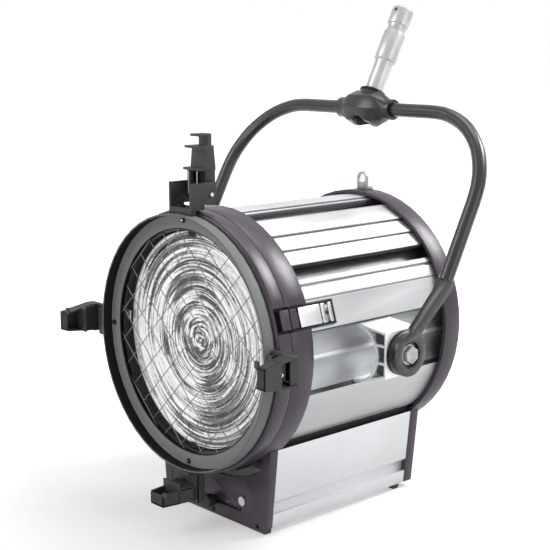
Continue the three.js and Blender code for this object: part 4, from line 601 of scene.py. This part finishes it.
def lens_tree():
    """A stepped lens: each ring starts high and falls outwards, and the back is flat."""
    tree = new_tree("stepped_lens", [
        ("Radius", "NodeSocketFloat", LENS_RADIUS * MM),
        ("Ring Count", "NodeSocketInt", LENS_RINGS),
        ("Ring Samples", "NodeSocketInt", LENS_RING_SAMPLES),
        ("Rise", "NodeSocketFloat", LENS_RISE * MM),
        ("First Fall Share", "NodeSocketFloat", LENS_FIRST_FALL),
        ("Edge Thickness", "NodeSocketFloat", LENS_EDGE * MM),
        ("Samples Around", "NodeSocketInt", LENS_SAMPLES_AROUND),
        ("Glass", "NodeSocketMaterial", None),
        ("Step Glass", "NodeSocketMaterial", None)])
    given = add_node(tree, "NodeGroupInput").outputs
    spans = add_node(tree, "ShaderNodeMath", {"operation": "MULTIPLY"}, links={
        0: given["Ring Count"], 1: given["Ring Samples"]})
    samples = add_node(tree, "ShaderNodeMath", {"operation": "ADD"}, {1: 1.0}, {0: spans})
    grid = add_node(tree, "GeometryNodeMeshGrid", values={"Size X": 1.0, "Size Y": 1.0}, links={
        "Vertices X": samples, "Vertices Y": given["Samples Around"]})
    spot = add_node(tree, "GeometryNodeInputPosition")
    parts = add_node(tree, "ShaderNodeSeparateXYZ", links={0: spot})
    # Outwards the sheet's own x runs over the radius, and round it its y runs over the turn
    outward = add_node(tree, "ShaderNodeMath", {"operation": "ADD"}, {1: 0.5}, {
        0: parts.outputs["X"]})
    radius = add_node(tree, "ShaderNodeMath", {"operation": "MULTIPLY"}, links={
        0: outward, 1: given["Radius"]})
    angle = add_node(tree, "ShaderNodeMath", {"operation": "MULTIPLY"}, {1: math.tau}, {
        0: parts.outputs["Y"]})
    sine = add_node(tree, "ShaderNodeMath", {"operation": "SINE"}, links={0: angle})
    cosine = add_node(tree, "ShaderNodeMath", {"operation": "COSINE"}, links={0: angle})
    spoke = add_node(tree, "ShaderNodeCombineXYZ", links={"X": sine, "Z": cosine})
    flat = add_node(tree, "ShaderNodeVectorMath", {"operation": "SCALE"}, links={
        0: spoke, "Scale": radius})
    # Height of the front over the lens's rim: each ring falls by its share of the rise
    ring = add_node(tree, "ShaderNodeMath", {"operation": "MULTIPLY"}, links={
        0: outward, 1: given["Ring Count"]})
    nudged = add_node(tree, "ShaderNodeMath", {"operation": "ADD"}, {1: 0.001}, {0: ring})
    index = add_node(tree, "ShaderNodeMath", {"operation": "FLOOR"}, links={0: nudged})
    along = add_node(tree, "ShaderNodeMath", {"operation": "SUBTRACT"}, links={0: ring, 1: index})
    share = add_node(tree, "ShaderNodeMapRange", values={"To Max": 1.0}, links={
        "Value": index, "From Max": given["Ring Count"], "To Min": given["First Fall Share"]})
    part = add_node(tree, "ShaderNodeMath", {"operation": "MULTIPLY"}, links={0: share, 1: along})
    below = add_node(tree, "ShaderNodeMath", {"operation": "SUBTRACT"}, {1: 1.0}, {0: part})
    lowered = add_node(tree, "ShaderNodeMath", {"operation": "MULTIPLY"}, links={
        0: below, 1: given["Rise"]})
    within = add_node(tree, "ShaderNodeMath", {"operation": "LESS_THAN"}, links={
        0: index, 1: given["Ring Count"]})
    height = add_node(tree, "ShaderNodeMath", {"operation": "MULTIPLY"}, links={
        0: lowered, 1: within})
    proud = add_node(tree, "ShaderNodeMath", {"operation": "ADD"}, links={
        0: height, 1: given["Edge Thickness"]})
    lift = add_node(tree, "ShaderNodeMath", {"operation": "MULTIPLY"}, {1: -1.0}, {0: proud})
    depth = add_node(tree, "ShaderNodeCombineXYZ", links={"Y": lift})
    raised = add_node(tree, "ShaderNodeVectorMath", {"operation": "ADD"}, links={
        0: flat, 1: depth})
    front = add_node(tree, "GeometryNodeSetPosition", links={"Geometry": grid, "Position": raised})
    back = add_node(tree, "GeometryNodeSetPosition", links={"Geometry": grid, "Position": flat})
    turned = add_node(tree, "GeometryNodeFlipFaces", links={"Mesh": back})
    both = add_node(tree, "GeometryNodeJoinGeometry")
    tree.links.new(front.outputs[0], both.inputs[0])
    tree.links.new(turned.outputs[0], both.inputs[0])
    whole = add_node(tree, "GeometryNodeMergeByDistance", values={"Distance": 0.01 * MM}, links={
        "Geometry": both})
    real = add_node(tree, "GeometryNodeRealizeInstances", links={"Geometry": whole})
    glass = add_node(tree, "GeometryNodeSetMaterial", links={
        "Geometry": real, "Material": given["Glass"]})
    # A face is a step where it doesn't look almost straight forwards
    normal = add_node(tree, "GeometryNodeInputNormal")
    facing = add_node(tree, "ShaderNodeSeparateXYZ", links={0: normal})
    forward = add_node(tree, "ShaderNodeMath", {"operation": "ABSOLUTE"}, links={
        0: facing.outputs["Y"]})
    steep = add_node(tree, "FunctionNodeCompare", {
        "data_type": "FLOAT", "operation": "LESS_THAN"}, {1: 0.87}, {0: forward})
    stepped = add_node(tree, "GeometryNodeSetMaterial", links={
        "Geometry": glass, "Selection": steep, "Material": given["Step Glass"]})
    add_node(tree, "NodeGroupOutput", links={"Geometry": stepped})
    return tree


def guard_tree():
    """A square net of round wires set on its corner, inside a round rim."""
    tree = new_tree("wire_guard", [
        ("Radius", "NodeSocketFloat", GUARD_RADIUS * MM),
        ("Pitch", "NodeSocketFloat", GUARD_PITCH * MM),
        ("Wire Radius", "NodeSocketFloat", GUARD_WIRE * MM),
        ("Wires Each Way", "NodeSocketInt", 2 * int(GUARD_RADIUS / GUARD_PITCH) + 1),
        ("Steel", "NodeSocketMaterial", None)])
    given = add_node(tree, "NodeGroupInput").outputs
    gaps = add_node(tree, "ShaderNodeMath", {"operation": "SUBTRACT"}, {1: 1.0}, {
        0: given["Wires Each Way"]})
    span = add_node(tree, "ShaderNodeMath", {"operation": "MULTIPLY"}, links={
        0: gaps, 1: given["Pitch"]})
    first = add_node(tree, "ShaderNodeMath", {"operation": "MULTIPLY"}, {1: -0.5}, {0: span})
    start = add_node(tree, "ShaderNodeCombineXYZ", links={"X": first})
    step = add_node(tree, "ShaderNodeCombineXYZ", links={"X": given["Pitch"]})
    row = add_node(tree, "GeometryNodeMeshLine", links={
        "Count": given["Wires Each Way"], "Start Location": start, "Offset": step})
    spot = add_node(tree, "GeometryNodeInputPosition")
    parts = add_node(tree, "ShaderNodeSeparateXYZ", links={0: spot})
    # Half a wire's length is the half chord of the rim at the wire's place
    rim_square = add_node(tree, "ShaderNodeMath", {"operation": "POWER"}, {1: 2.0}, {
        0: given["Radius"]})
    own_square = add_node(tree, "ShaderNodeMath", {"operation": "MULTIPLY"}, links={
        0: parts.outputs["X"], 1: parts.outputs["X"]})
    left = add_node(tree, "ShaderNodeMath", {"operation": "SUBTRACT"}, links={
        0: rim_square, 1: own_square})
    chord = add_node(tree, "ShaderNodeMath", {"operation": "SQRT"}, links={0: left})
    reach = add_node(tree, "ShaderNodeCombineXYZ", values={"X": 1.0, "Y": 1.0}, links={"Z": chord})
    wire = add_node(tree, "GeometryNodeCurvePrimitiveLine", values={
        "Start": (0, 0, -1), "End": (0, 0, 1)})
    wires = add_node(tree, "GeometryNodeInstanceOnPoints", links={
        "Points": row, "Instance": wire, "Scale": reach})
    real = add_node(tree, "GeometryNodeRealizeInstances", links={"Geometry": wires})
    lines = add_node(tree, "GeometryNodeJoinGeometry")
    for turn, side in ((45, -1.0), (-45, 1.0)):
        lift = add_node(tree, "ShaderNodeMath", {"operation": "MULTIPLY"}, {1: side}, {
            0: given["Wire Radius"]})
        offset = add_node(tree, "ShaderNodeCombineXYZ", links={"Y": lift})
        turned = add_node(tree, "GeometryNodeTransform", values={
            "Rotation": (0, math.radians(turn), 0)}, links={
            "Geometry": real, "Translation": offset})
        tree.links.new(turned.outputs[0], lines.inputs[0])
    rim = add_node(tree, "GeometryNodeCurvePrimitiveCircle", values={"Resolution": 96}, links={
        "Radius": given["Radius"]})
    upright = add_node(tree, "GeometryNodeTransform", values={
        "Rotation": (math.pi / 2, 0, 0)}, links={"Geometry": rim})
    tree.links.new(upright.outputs[0], lines.inputs[0])
    section = add_node(tree, "GeometryNodeCurvePrimitiveCircle", values={"Resolution": 8}, links={
        "Radius": given["Wire Radius"]})
    swept = add_node(tree, "GeometryNodeCurveToMesh", values={"Fill Caps": True}, links={
        "Curve": lines, "Profile Curve": section})
    smooth = add_node(tree, "GeometryNodeSetShadeSmooth", values={"Shade Smooth": True}, links={
        "Geometry": swept})
    ended = add_node(tree, "GeometryNodeRealizeInstances", links={"Geometry": smooth})
    painted = add_node(tree, "GeometryNodeSetMaterial", links={
        "Geometry": ended, "Material": given["Steel"]})
    add_node(tree, "NodeGroupOutput", links={"Geometry": painted})
    return tree


def screw_tree():
    """Socket-head screws standing on the points of a mesh, turned to a named direction."""
    tree = new_tree("screws", [
        ("Points", "NodeSocketGeometry", None),
        ("Head Radius", "NodeSocketFloat", 3 * MM),
        ("Head Height", "NodeSocketFloat", 1.5 * MM),
        ("Crown Share", "NodeSocketFloat", 0.78),
        ("Socket Share", "NodeSocketFloat", 0.5),
        ("Sides", "NodeSocketInt", 20),
        ("Direction", "NodeSocketVector", (0, 0, 0)),
        ("Head", "NodeSocketMaterial", None),
        ("Socket", "NodeSocketMaterial", None)])
    given = add_node(tree, "NodeGroupInput").outputs
    crown = add_node(tree, "ShaderNodeMath", {"operation": "MULTIPLY"}, links={
        0: given["Head Radius"], 1: given["Crown Share"]})
    head = add_node(tree, "GeometryNodeMeshCone", links={
        "Vertices": given["Sides"], "Radius Top": crown, "Radius Bottom": given["Head Radius"],
        "Depth": given["Head Height"]})
    headed = add_node(tree, "GeometryNodeSetMaterial", links={
        "Geometry": head, "Material": given["Head"]})
    inner = add_node(tree, "ShaderNodeMath", {"operation": "MULTIPLY"}, links={
        0: given["Head Radius"], 1: given["Socket Share"]})
    skin = add_node(tree, "ShaderNodeMath", {"operation": "MULTIPLY"}, {1: 0.1}, {
        0: given["Head Height"]})
    socket = add_node(tree, "GeometryNodeMeshCylinder", values={"Vertices": 6}, links={
        "Radius": inner, "Depth": skin})
    lift = add_node(tree, "ShaderNodeCombineXYZ", links={"Z": given["Head Height"]})
    raised = add_node(tree, "GeometryNodeTransform", links={
        "Geometry": socket, "Translation": lift})
    marked = add_node(tree, "GeometryNodeSetMaterial", links={
        "Geometry": raised, "Material": given["Socket"]})
    screw = add_node(tree, "GeometryNodeJoinGeometry")
    tree.links.new(headed.outputs[0], screw.inputs[0])
    tree.links.new(marked.outputs[0], screw.inputs[0])
    turn = add_node(tree, "FunctionNodeEulerToRotation", links={0: given["Direction"]})
    placed = add_node(tree, "GeometryNodeInstanceOnPoints", links={
        "Points": given["Points"], "Instance": screw, "Rotation": turn})
    real = add_node(tree, "GeometryNodeRealizeInstances", links={"Geometry": placed})
    add_node(tree, "NodeGroupOutput", links={"Geometry": real})
    return tree


def rib_tree():
    """Straight grip ribs in a ring about the Y axis."""
    tree = new_tree("grip_ribs", [
        ("Radius", "NodeSocketFloat", 10 * MM),
        ("Count", "NodeSocketInt", 20),
        ("Rib Size", "NodeSocketVector", (1 * MM, 8 * MM, 1 * MM)),
        ("Finish", "NodeSocketMaterial", None)])
    given = add_node(tree, "NodeGroupInput").outputs
    ring = add_node(tree, "GeometryNodeMeshCircle", links={
        "Vertices": given["Count"], "Radius": given["Radius"]})
    upright = add_node(tree, "GeometryNodeTransform", values={
        "Rotation": (math.pi / 2, 0, 0)}, links={"Geometry": ring})
    bar = add_node(tree, "GeometryNodeMeshCube", links={"Size": given["Rib Size"]})
    spot = add_node(tree, "GeometryNodeInputPosition")
    outward = add_node(tree, "FunctionNodeAlignRotationToVector", {"axis": "X"}, links={
        "Vector": spot})
    ribs = add_node(tree, "GeometryNodeInstanceOnPoints", links={
        "Points": upright, "Instance": bar, "Rotation": outward})
    real = add_node(tree, "GeometryNodeRealizeInstances", links={"Geometry": ribs})
    painted = add_node(tree, "GeometryNodeSetMaterial", links={
        "Geometry": real, "Material": given["Finish"]})
    add_node(tree, "NodeGroupOutput", links={"Geometry": painted})
    return tree


def ring_tree():
    """Round rings laid flat on points, whose section may swell as a hand-laid bead does."""
    tree = new_tree("rings", [
        ("Points", "NodeSocketGeometry", None),
        ("Radius", "NodeSocketFloat", 9 * MM),
        ("Thickness", "NodeSocketFloat", 1.5 * MM),
        ("Swell", "NodeSocketFloat", 0.0),
        ("Ripples", "NodeSocketFloat", 18.0),
        ("Finish", "NodeSocketMaterial", None)])
    given = add_node(tree, "NodeGroupInput").outputs
    path = add_node(tree, "GeometryNodeCurvePrimitiveCircle", values={"Resolution": 144}, links={
        "Radius": given["Radius"]})
    along = add_node(tree, "GeometryNodeSplineParameter")
    turns = add_node(tree, "ShaderNodeMath", {"operation": "MULTIPLY"}, links={
        0: along.outputs["Factor"], 1: given["Ripples"]})
    angle = add_node(tree, "ShaderNodeMath", {"operation": "MULTIPLY"}, {1: math.tau}, {0: turns})
    wave = add_node(tree, "ShaderNodeMath", {"operation": "SINE"}, links={0: angle})
    swell = add_node(tree, "ShaderNodeMath", {"operation": "MULTIPLY"}, links={
        0: wave, 1: given["Swell"]})
    size = add_node(tree, "ShaderNodeMath", {"operation": "ADD"}, {1: 1.0}, {0: swell})
    section = add_node(tree, "GeometryNodeCurvePrimitiveCircle", values={"Resolution": 10}, links={
        "Radius": given["Thickness"]})
    sized = add_node(tree, "GeometryNodeSetCurveRadius", links={"Curve": path, "Radius": size})
    swept = add_node(tree, "GeometryNodeCurveToMesh", links={
        "Curve": sized, "Profile Curve": section, "Scale": size})
    smooth = add_node(tree, "GeometryNodeSetShadeSmooth", values={"Shade Smooth": True}, links={
        "Geometry": swept})
    placed = add_node(tree, "GeometryNodeInstanceOnPoints", links={
        "Points": given["Points"], "Instance": smooth})
    real = add_node(tree, "GeometryNodeRealizeInstances", links={"Geometry": placed})
    painted = add_node(tree, "GeometryNodeSetMaterial", links={
        "Geometry": real, "Material": given["Finish"]})
    add_node(tree, "NodeGroupOutput", links={"Geometry": painted})
    return tree


def points_mesh(name, points):
    """A mesh of points alone, for a tree to work on."""
    mesh = bpy.data.meshes.new(name)
    mesh.from_pydata([tuple(p) for p in points], [], [])
    return mesh


SCREWS = screw_tree()
RIBS = rib_tree()
RINGS = ring_tree()
# Euler turns that stand a screw on a face looking that way
FACING = {"front": (math.pi / 2, 0, 0), "back": (-math.pi / 2, 0, 0),
          "right": (0, math.pi / 2, 0), "left": (0, -math.pi / 2, 0)}
# The turn that stands a flat ring up round the optical axis
UPRIGHT = Matrix.Rotation(math.pi / 2, 4, "X")


def screws(name, body, points, facing, radius, height, head, socket=TRIM, socket_share=0.5):
    """Screws on a body, whose heads have a radius and a height in millimetres."""
    piece = baked(name, SCREWS, {
        "Head Radius": radius * MM, "Head Height": height * MM, "Socket Share": socket_share,
        "Direction": FACING[facing], "Head": head, "Socket": socket},
        body, base=points_mesh(name + "_points", points))


def rings(name, body, points, radius, thickness, material, place, swell=0.0):
    """Rings on a body, with a radius and a thickness in millimetres."""
    piece = baked(name, RINGS, {
        "Radius": radius * MM, "Thickness": thickness * MM, "Swell": swell, "Finish": material},
        body, place, points_mesh(name + "_points", [Vector(p) * MM for p in points]))
    return piece


def make_lens():
    """The stepped lens, and the thin black ring in the bore that holds it."""
    lens = baked("lens_glass", lens_tree(), {"Glass": LENS_GLASS, "Step Glass": LENS_STEP}, "door",
                 head_matrix(y=LENS_BACK))
    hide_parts("lens")
    front = LENS_BACK - LENS_EDGE - LENS_RISE
    holder = rings("lens_ring", "door", [(0, 0, 0)], radius=LENS_RADIUS - 0.7, thickness=0.9,
                   material=TRIM, place=head_matrix(y=front) @ UPRIGHT)
    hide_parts("lens_retainer")


def make_ring_seam_shade():
    """A black ring of painted shade in the seam between the accessory ring and the door."""
    rings("ring_seam_shade", "door", [(0, 0, 0)], radius=151.4, thickness=1.3, material=TRIM,
          place=head_matrix(y=-0.9) @ UPRIGHT)


def make_guard():
    """The wire guard in front of the lens."""
    guard = baked("guard_wires", guard_tree(), {"Steel": WIRE}, "door", head_matrix(y=GUARD_DEPTH))
    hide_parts("wire_guard")


def make_fasteners():
    """Screws in the ring, in both ends of the base and in the rear cover."""
    ring_spots = [head_point(x, -2.4, z) for x, z in ((-4, 143), (0, -144), (-144, 0), (144, 0))]
    # The sockets are bright steel, a painted highlight in the middle of each black head
    screws("ring_screws", "door", ring_spots, "front", radius=3.4, height=2.6, head=TRIM,
           socket=BRIGHT_STEEL, socket_share=0.45)
    base_spots = [head_point(x, BASE_FRONT + 3.1, -213.2) for x in (-79.5, 0, 79.5)]
    screws("base_screws", "head", base_spots, "front", radius=2.8, height=1.6, head=TRIM)
    around = [math.radians(degrees) for degrees in range(0, 360, 45)]
    circle = 123
    cover_spots = [head_point(circle * math.sin(a), BODY_END + 2.7, circle * math.cos(a))
                   for a in around]
    screws("cover_screws", "head", cover_spots, "back", radius=3.2, height=1.8,
           head=BRIGHT_STEEL)
    base_back = [head_point(x, 289.5, z) for x in (-82, 82) for z in (-203, -150)]
    screws("base_back_screws", "head", base_back, "back", radius=3.0, height=1.6,
           head=BRIGHT_STEEL)


def make_grips():
    """Grip ribs round the cable gland's nut and round the knob of the focus lever."""
    gland = baked("gland_ribs", RIBS, {
        "Radius": 10.5 * MM, "Count": 24, "Rib Size": Vector((1.0, 9.0, 1.2)) * MM,
        "Finish": TRIM}, "head", head_matrix(-62, 300.6, -162))
    knob = baked("focus_knob_ribs", RIBS, {
        "Radius": 7.0 * MM, "Count": 18, "Rib Size": Vector((0.9, 9.0, 1.1)) * MM,
        "Finish": BLACK_COAT}, "focus", head_matrix(0, 28.0, -201))


def make_yoke_rings():
    """Weld beads where the tube enters the cast eyes, and the gasket under the spigot."""
    arms = [(ARM_RIGHT, 0, EYE_TOP), (ARM_LEFT, 0, EYE_TOP)]
    rings("yoke_welds", "yoke", arms, radius=7.55, thickness=0.8, material=YOKE_COAT,
          place=yoke_matrix(), swell=0.16)
    seat = [(0, 0, CLAMP_HEIGHT + CLAMP_RADIUS - 0.4)]
    rings("spigot_gasket", "yoke", seat, radius=15.6, thickness=1.9, material=TRIM,
          place=yoke_matrix())


# Pieces of folded sheet, each plate given by its two end sections

def round_axis(degrees, outward=0.0):
    """A turn round the optical axis, after a move outward along x."""
    turn = Matrix.Rotation(math.radians(degrees), 4, "Y")
    return turn @ Matrix.Translation((outward * MM, 0, 0))


# A plate's six faces, by the numbers of its corners: four in front and four behind
PLATE_FACES = ((0, 1, 2, 3), (7, 6, 5, 4), (0, 4, 5, 1), (1, 5, 6, 2), (2, 6, 7, 3), (3, 7, 4, 0))


def plates(name, body, sides, material, edge=0.4, mirrored=False, turned=Matrix()):
    """One piece from plates. Each is (depth, x, z) ranges at its front and at its back."""
    place = head_matrix() @ turned
    shell = bmesh.new()
    for front, back in sides:
        corners = []
        for depth, (x0, x1), (z0, z1) in (front, back):
            for x, z in ((x0, z0), (x1, z0), (x1, z1), (x0, z1)):
                corner = Vector((-x if mirrored else x, depth, z)) * MM
                corners.append(shell.verts.new(place @ corner))
        for loop in PLATE_FACES:
            shell.faces.new([corners[i] for i in loop])
    bmesh.ops.recalc_face_normals(shell, faces=shell.faces)
    mesh = bpy.data.meshes.new(name)
    shell.to_mesh(mesh)
    shell.free()
    mesh.materials.append(material)
    piece = bpy.data.objects.new(name, mesh)
    bpy.context.collection.objects.link(piece)
    round_edge = piece.modifiers.new("edge_round", "BEVEL")
    round_edge.width = edge * MM
    round_edge.segments = 2
    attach(piece, body)
    return piece


def ear_half(depth):
    """Half width of an ear, which narrows forward from its shoulder."""
    if depth > EAR_SHOULDER:
        return EAR_HALF_WIDTH
    share = (depth - EAR_TIP) / (EAR_SHOULDER - EAR_TIP)
    return EAR_TIP_HALF_WIDTH + (EAR_HALF_WIDTH - EAR_TIP_HALF_WIDTH) * share


def ear_plate(front, back, x_range, low=-EAR_LOWER_SHARE, high=1.0, inset=0.0):
    """A plate of the ear between two depths, over a share of its half width."""
    sections = []
    for depth in (front, back):
        half = ear_half(depth) - inset
        sections.append((depth, x_range, (low * half, high * half)))
    return tuple(sections)


def ear_flange(front, back, x_range, side):
    """The folded edge of the ear, above for side 1 and below for side -1."""
    sections = []
    for depth in (front, back):
        half = ear_half(depth)
        edge = half if side > 0 else -EAR_LOWER_SHARE * half
        sections.append((depth, x_range, tuple(sorted((edge, edge - side * EAR_SHEET)))))
    return tuple(sections)


def ear_sides(foot):
    """The plates of an ear whose foot starts so far out from the axis."""
    web = (EAR_OUTER - EAR_SHEET, EAR_OUTER + 0.3)
    sides = [
        # The outer web, the front wall and the cross wall of the channel
        ear_plate(EAR_TIP, EAR_MIDDLE, web),
        ear_plate(EAR_TIP, EAR_TIP + EAR_SHEET, (177.0, EAR_OUTER)),
        ear_plate(EAR_MIDDLE - EAR_SHEET, EAR_MIDDLE, (166.0, EAR_OUTER)),
        # Its folded edges, above and below
        ear_flange(EAR_TIP, EAR_SHOULDER, (175.0, EAR_OUTER), 1),
        ear_flange(EAR_SHOULDER, EAR_ROOT, (172.0, EAR_OUTER), 1),
        ear_flange(EAR_TIP, EAR_SHOULDER, (175.0, EAR_OUTER), -1),
        ear_flange(EAR_SHOULDER, EAR_ROOT, (172.0, EAR_OUTER), -1),
        # The inner face behind it, the bar across the open slot, and the foot on the ring
        ear_plate(EAR_MIDDLE, EAR_ROOT, (172.0, 174.0), inset=0.2),
        ear_plate(-14.0, EAR_ROOT, (184.5, 187.0), low=-0.65, high=0.9),
        ear_plate(-9.0, EAR_ROOT, (foot, 174.0)),
        ear_plate(-15.6, -9.0, (foot, 160.0), low=-0.8, high=0.8),
        # The stop in the slot and the hook at the tip
        ear_plate(-12.0, -6.0, (174.0, 185.0), high=-0.45),
        ear_plate(EAR_TIP, EAR_TIP + EAR_SHEET, (172.5, 178.5), low=0.9, high=1.45),
    ]
    for rib in (179.0, 182.5, 186.0):
        sides.append(ear_plate(EAR_TIP - 0.7, EAR_TIP, (rib, rib + 1.2)))
    return sides


def make_ears():
    """Folded channels on the ring: a web, two edges, lips, an open slot and a spring in it."""
    places = {"right": (False, Matrix(), EAR_FOOT), "left": (True, Matrix(), EAR_FOOT),
              "bottom": (False, round_axis(90, -EAR_DROP), EAR_FOOT + EAR_DROP)}
    spring = [((-25.0, (174.0, 183.0), (-7.0, 5.5)), (-19.5, (174.0, 181.0), (-5.0, 4.0)))]
    for name, (mirrored, turned, foot) in places.items():
        ear = plates("folded_ear_" + name, "door", ear_sides(foot), BLACK_COAT,
                     mirrored=mirrored, turned=turned)
        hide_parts("ear_" + name)
        plates("ear_spring_" + name, "door", spring, TRIM,
               mirrored=mirrored, turned=turned)
    for name, x in (("right", 182.0), ("left", -182.0)):
        screws("ear_screw_" + name, "door", [head_point(x, -22.2, 1.0)], name, radius=2.2,
               height=1.4, head=BRIGHT_STEEL, socket_share=0.4)


def box_plate(front, back, x_range, z_range):
    """A plate of one section between two depths."""
    return (front, x_range, z_range), (back, x_range, z_range)


def make_ear_foot():
    """The lower ear's foot: a wider folded sheet, with a black plate on it as painted shade of a
    recess.
    """
    sides = [box_plate(-9.4, -7.6, (-24, 25), (-190, -152.5)),
             box_plate(-9.4, 1.5, (23.2, 25), (-188, -153)),
             box_plate(-9.4, -1.0, (-24, -22.2), (-186, -153))]
    plates("ear_foot", "door", sides, BLACK_COAT)
    # A black plate, painted shade of a recess in the foot
    relief = [box_plate(-9.7, -9.3, (-3.5, 4.5), (-174, -163))]
    plates("ear_foot_shade", "door", relief, TRIM)


def make_latch_details():
    """The top ear's inner cheek, the legs of the spring that holds it upright, and its stop."""
    cheek = [box_plate(9.3, 12.4, (-10.8, -5.2), (170.5, 199.5))]
    plates("flap_cheek", "flap", cheek, BLACK_COAT)
    legs = [box_plate(8.4, 9.5, (x, x + 1.1), (172, 199)) for x in (-8.2, 7.0)]
    plates("flap_spring_legs", "flap", legs, DULL_STEEL)
    stop = [box_plate(-6, 0, (-16.8, -3), (157.5, 160.7))]
    plates("latch_stop", "door", stop, TRIM)


def make_bracket_cell_shades():
    """Dark plates in the three cells of each tilt bracket, set in from both ends, as painted shade
    inside the cells.
    """
    cells = [((171.5, 187.5), (7.7, 19.8)), ((175.0, 187.5), (-12.8, 4.8)),
             ((173.7, 187.5), (-27.8, -15.7))]
    sides = [box_plate(end, end + 1, *cell) for end in (133.5, 178.5) for cell in cells]
    for name, mirrored in (("right", False), ("left", True)):
        plates("bracket_cell_shade_" + name, "head", sides, DARK_ALUMINIUM, edge=0.2,
               mirrored=mirrored)


def make_lens_clips():
    """Small spring clips over the rim of the lens."""
    sides = [box_plate(6.0, 7.4, (-6, 6), (123.5, 130.1)),
             box_plate(7.4, 9.0, (-3, 3), (126.5, 130.1))]
    for name, degrees in (("top", 0), ("bottom", 180)):
        plates("lens_clip_" + name, "door", sides, TRIM, edge=0.3,
               turned=round_axis(degrees))
    for name, degrees in (("left", 275), ("right", 90)):
        plates("lens_clip_" + name, "door", sides, BRIGHT_STEEL, edge=0.3,
               turned=round_axis(degrees))


def make_catch_shoe():
    """The painted shoe on the bolt's tongue, which meets the keeper."""
    sides = [box_plate(28.7, 34.5, (-10.6, 10.6), (149.0, 154.9)),
             box_plate(24.6, 28.8, (-10.6, 10.6), (154.4, 154.9))]
    plates("catch_shoe", "catch", sides, AUBERGINE,
           turned=round_axis(CATCH_ANGLE))


def make_base_seam_shades():
    """Black strips of painted shade in the seam between the lamp house and the base."""
    strip = [box_plate(47.4, 273.6, (95.6, 97.2), (-121.0, -106.6))]
    for name, mirrored in (("right", False), ("left", True)):
        plates("base_seam_shade_" + name, "head", strip, TRIM, mirrored=mirrored)


bpy.context.scene.view_settings.view_transform = "Standard"
place_camera()
lay_floor()
light_studio()
dress_nodes()
make_lens()
make_ring_seam_shade()
make_guard()
make_fasteners()
make_grips()
make_yoke_rings()
make_ears()
make_ear_foot()
make_latch_details()
make_bracket_cell_shades()
make_lens_clips()
make_catch_shoe()
make_base_seam_shades()
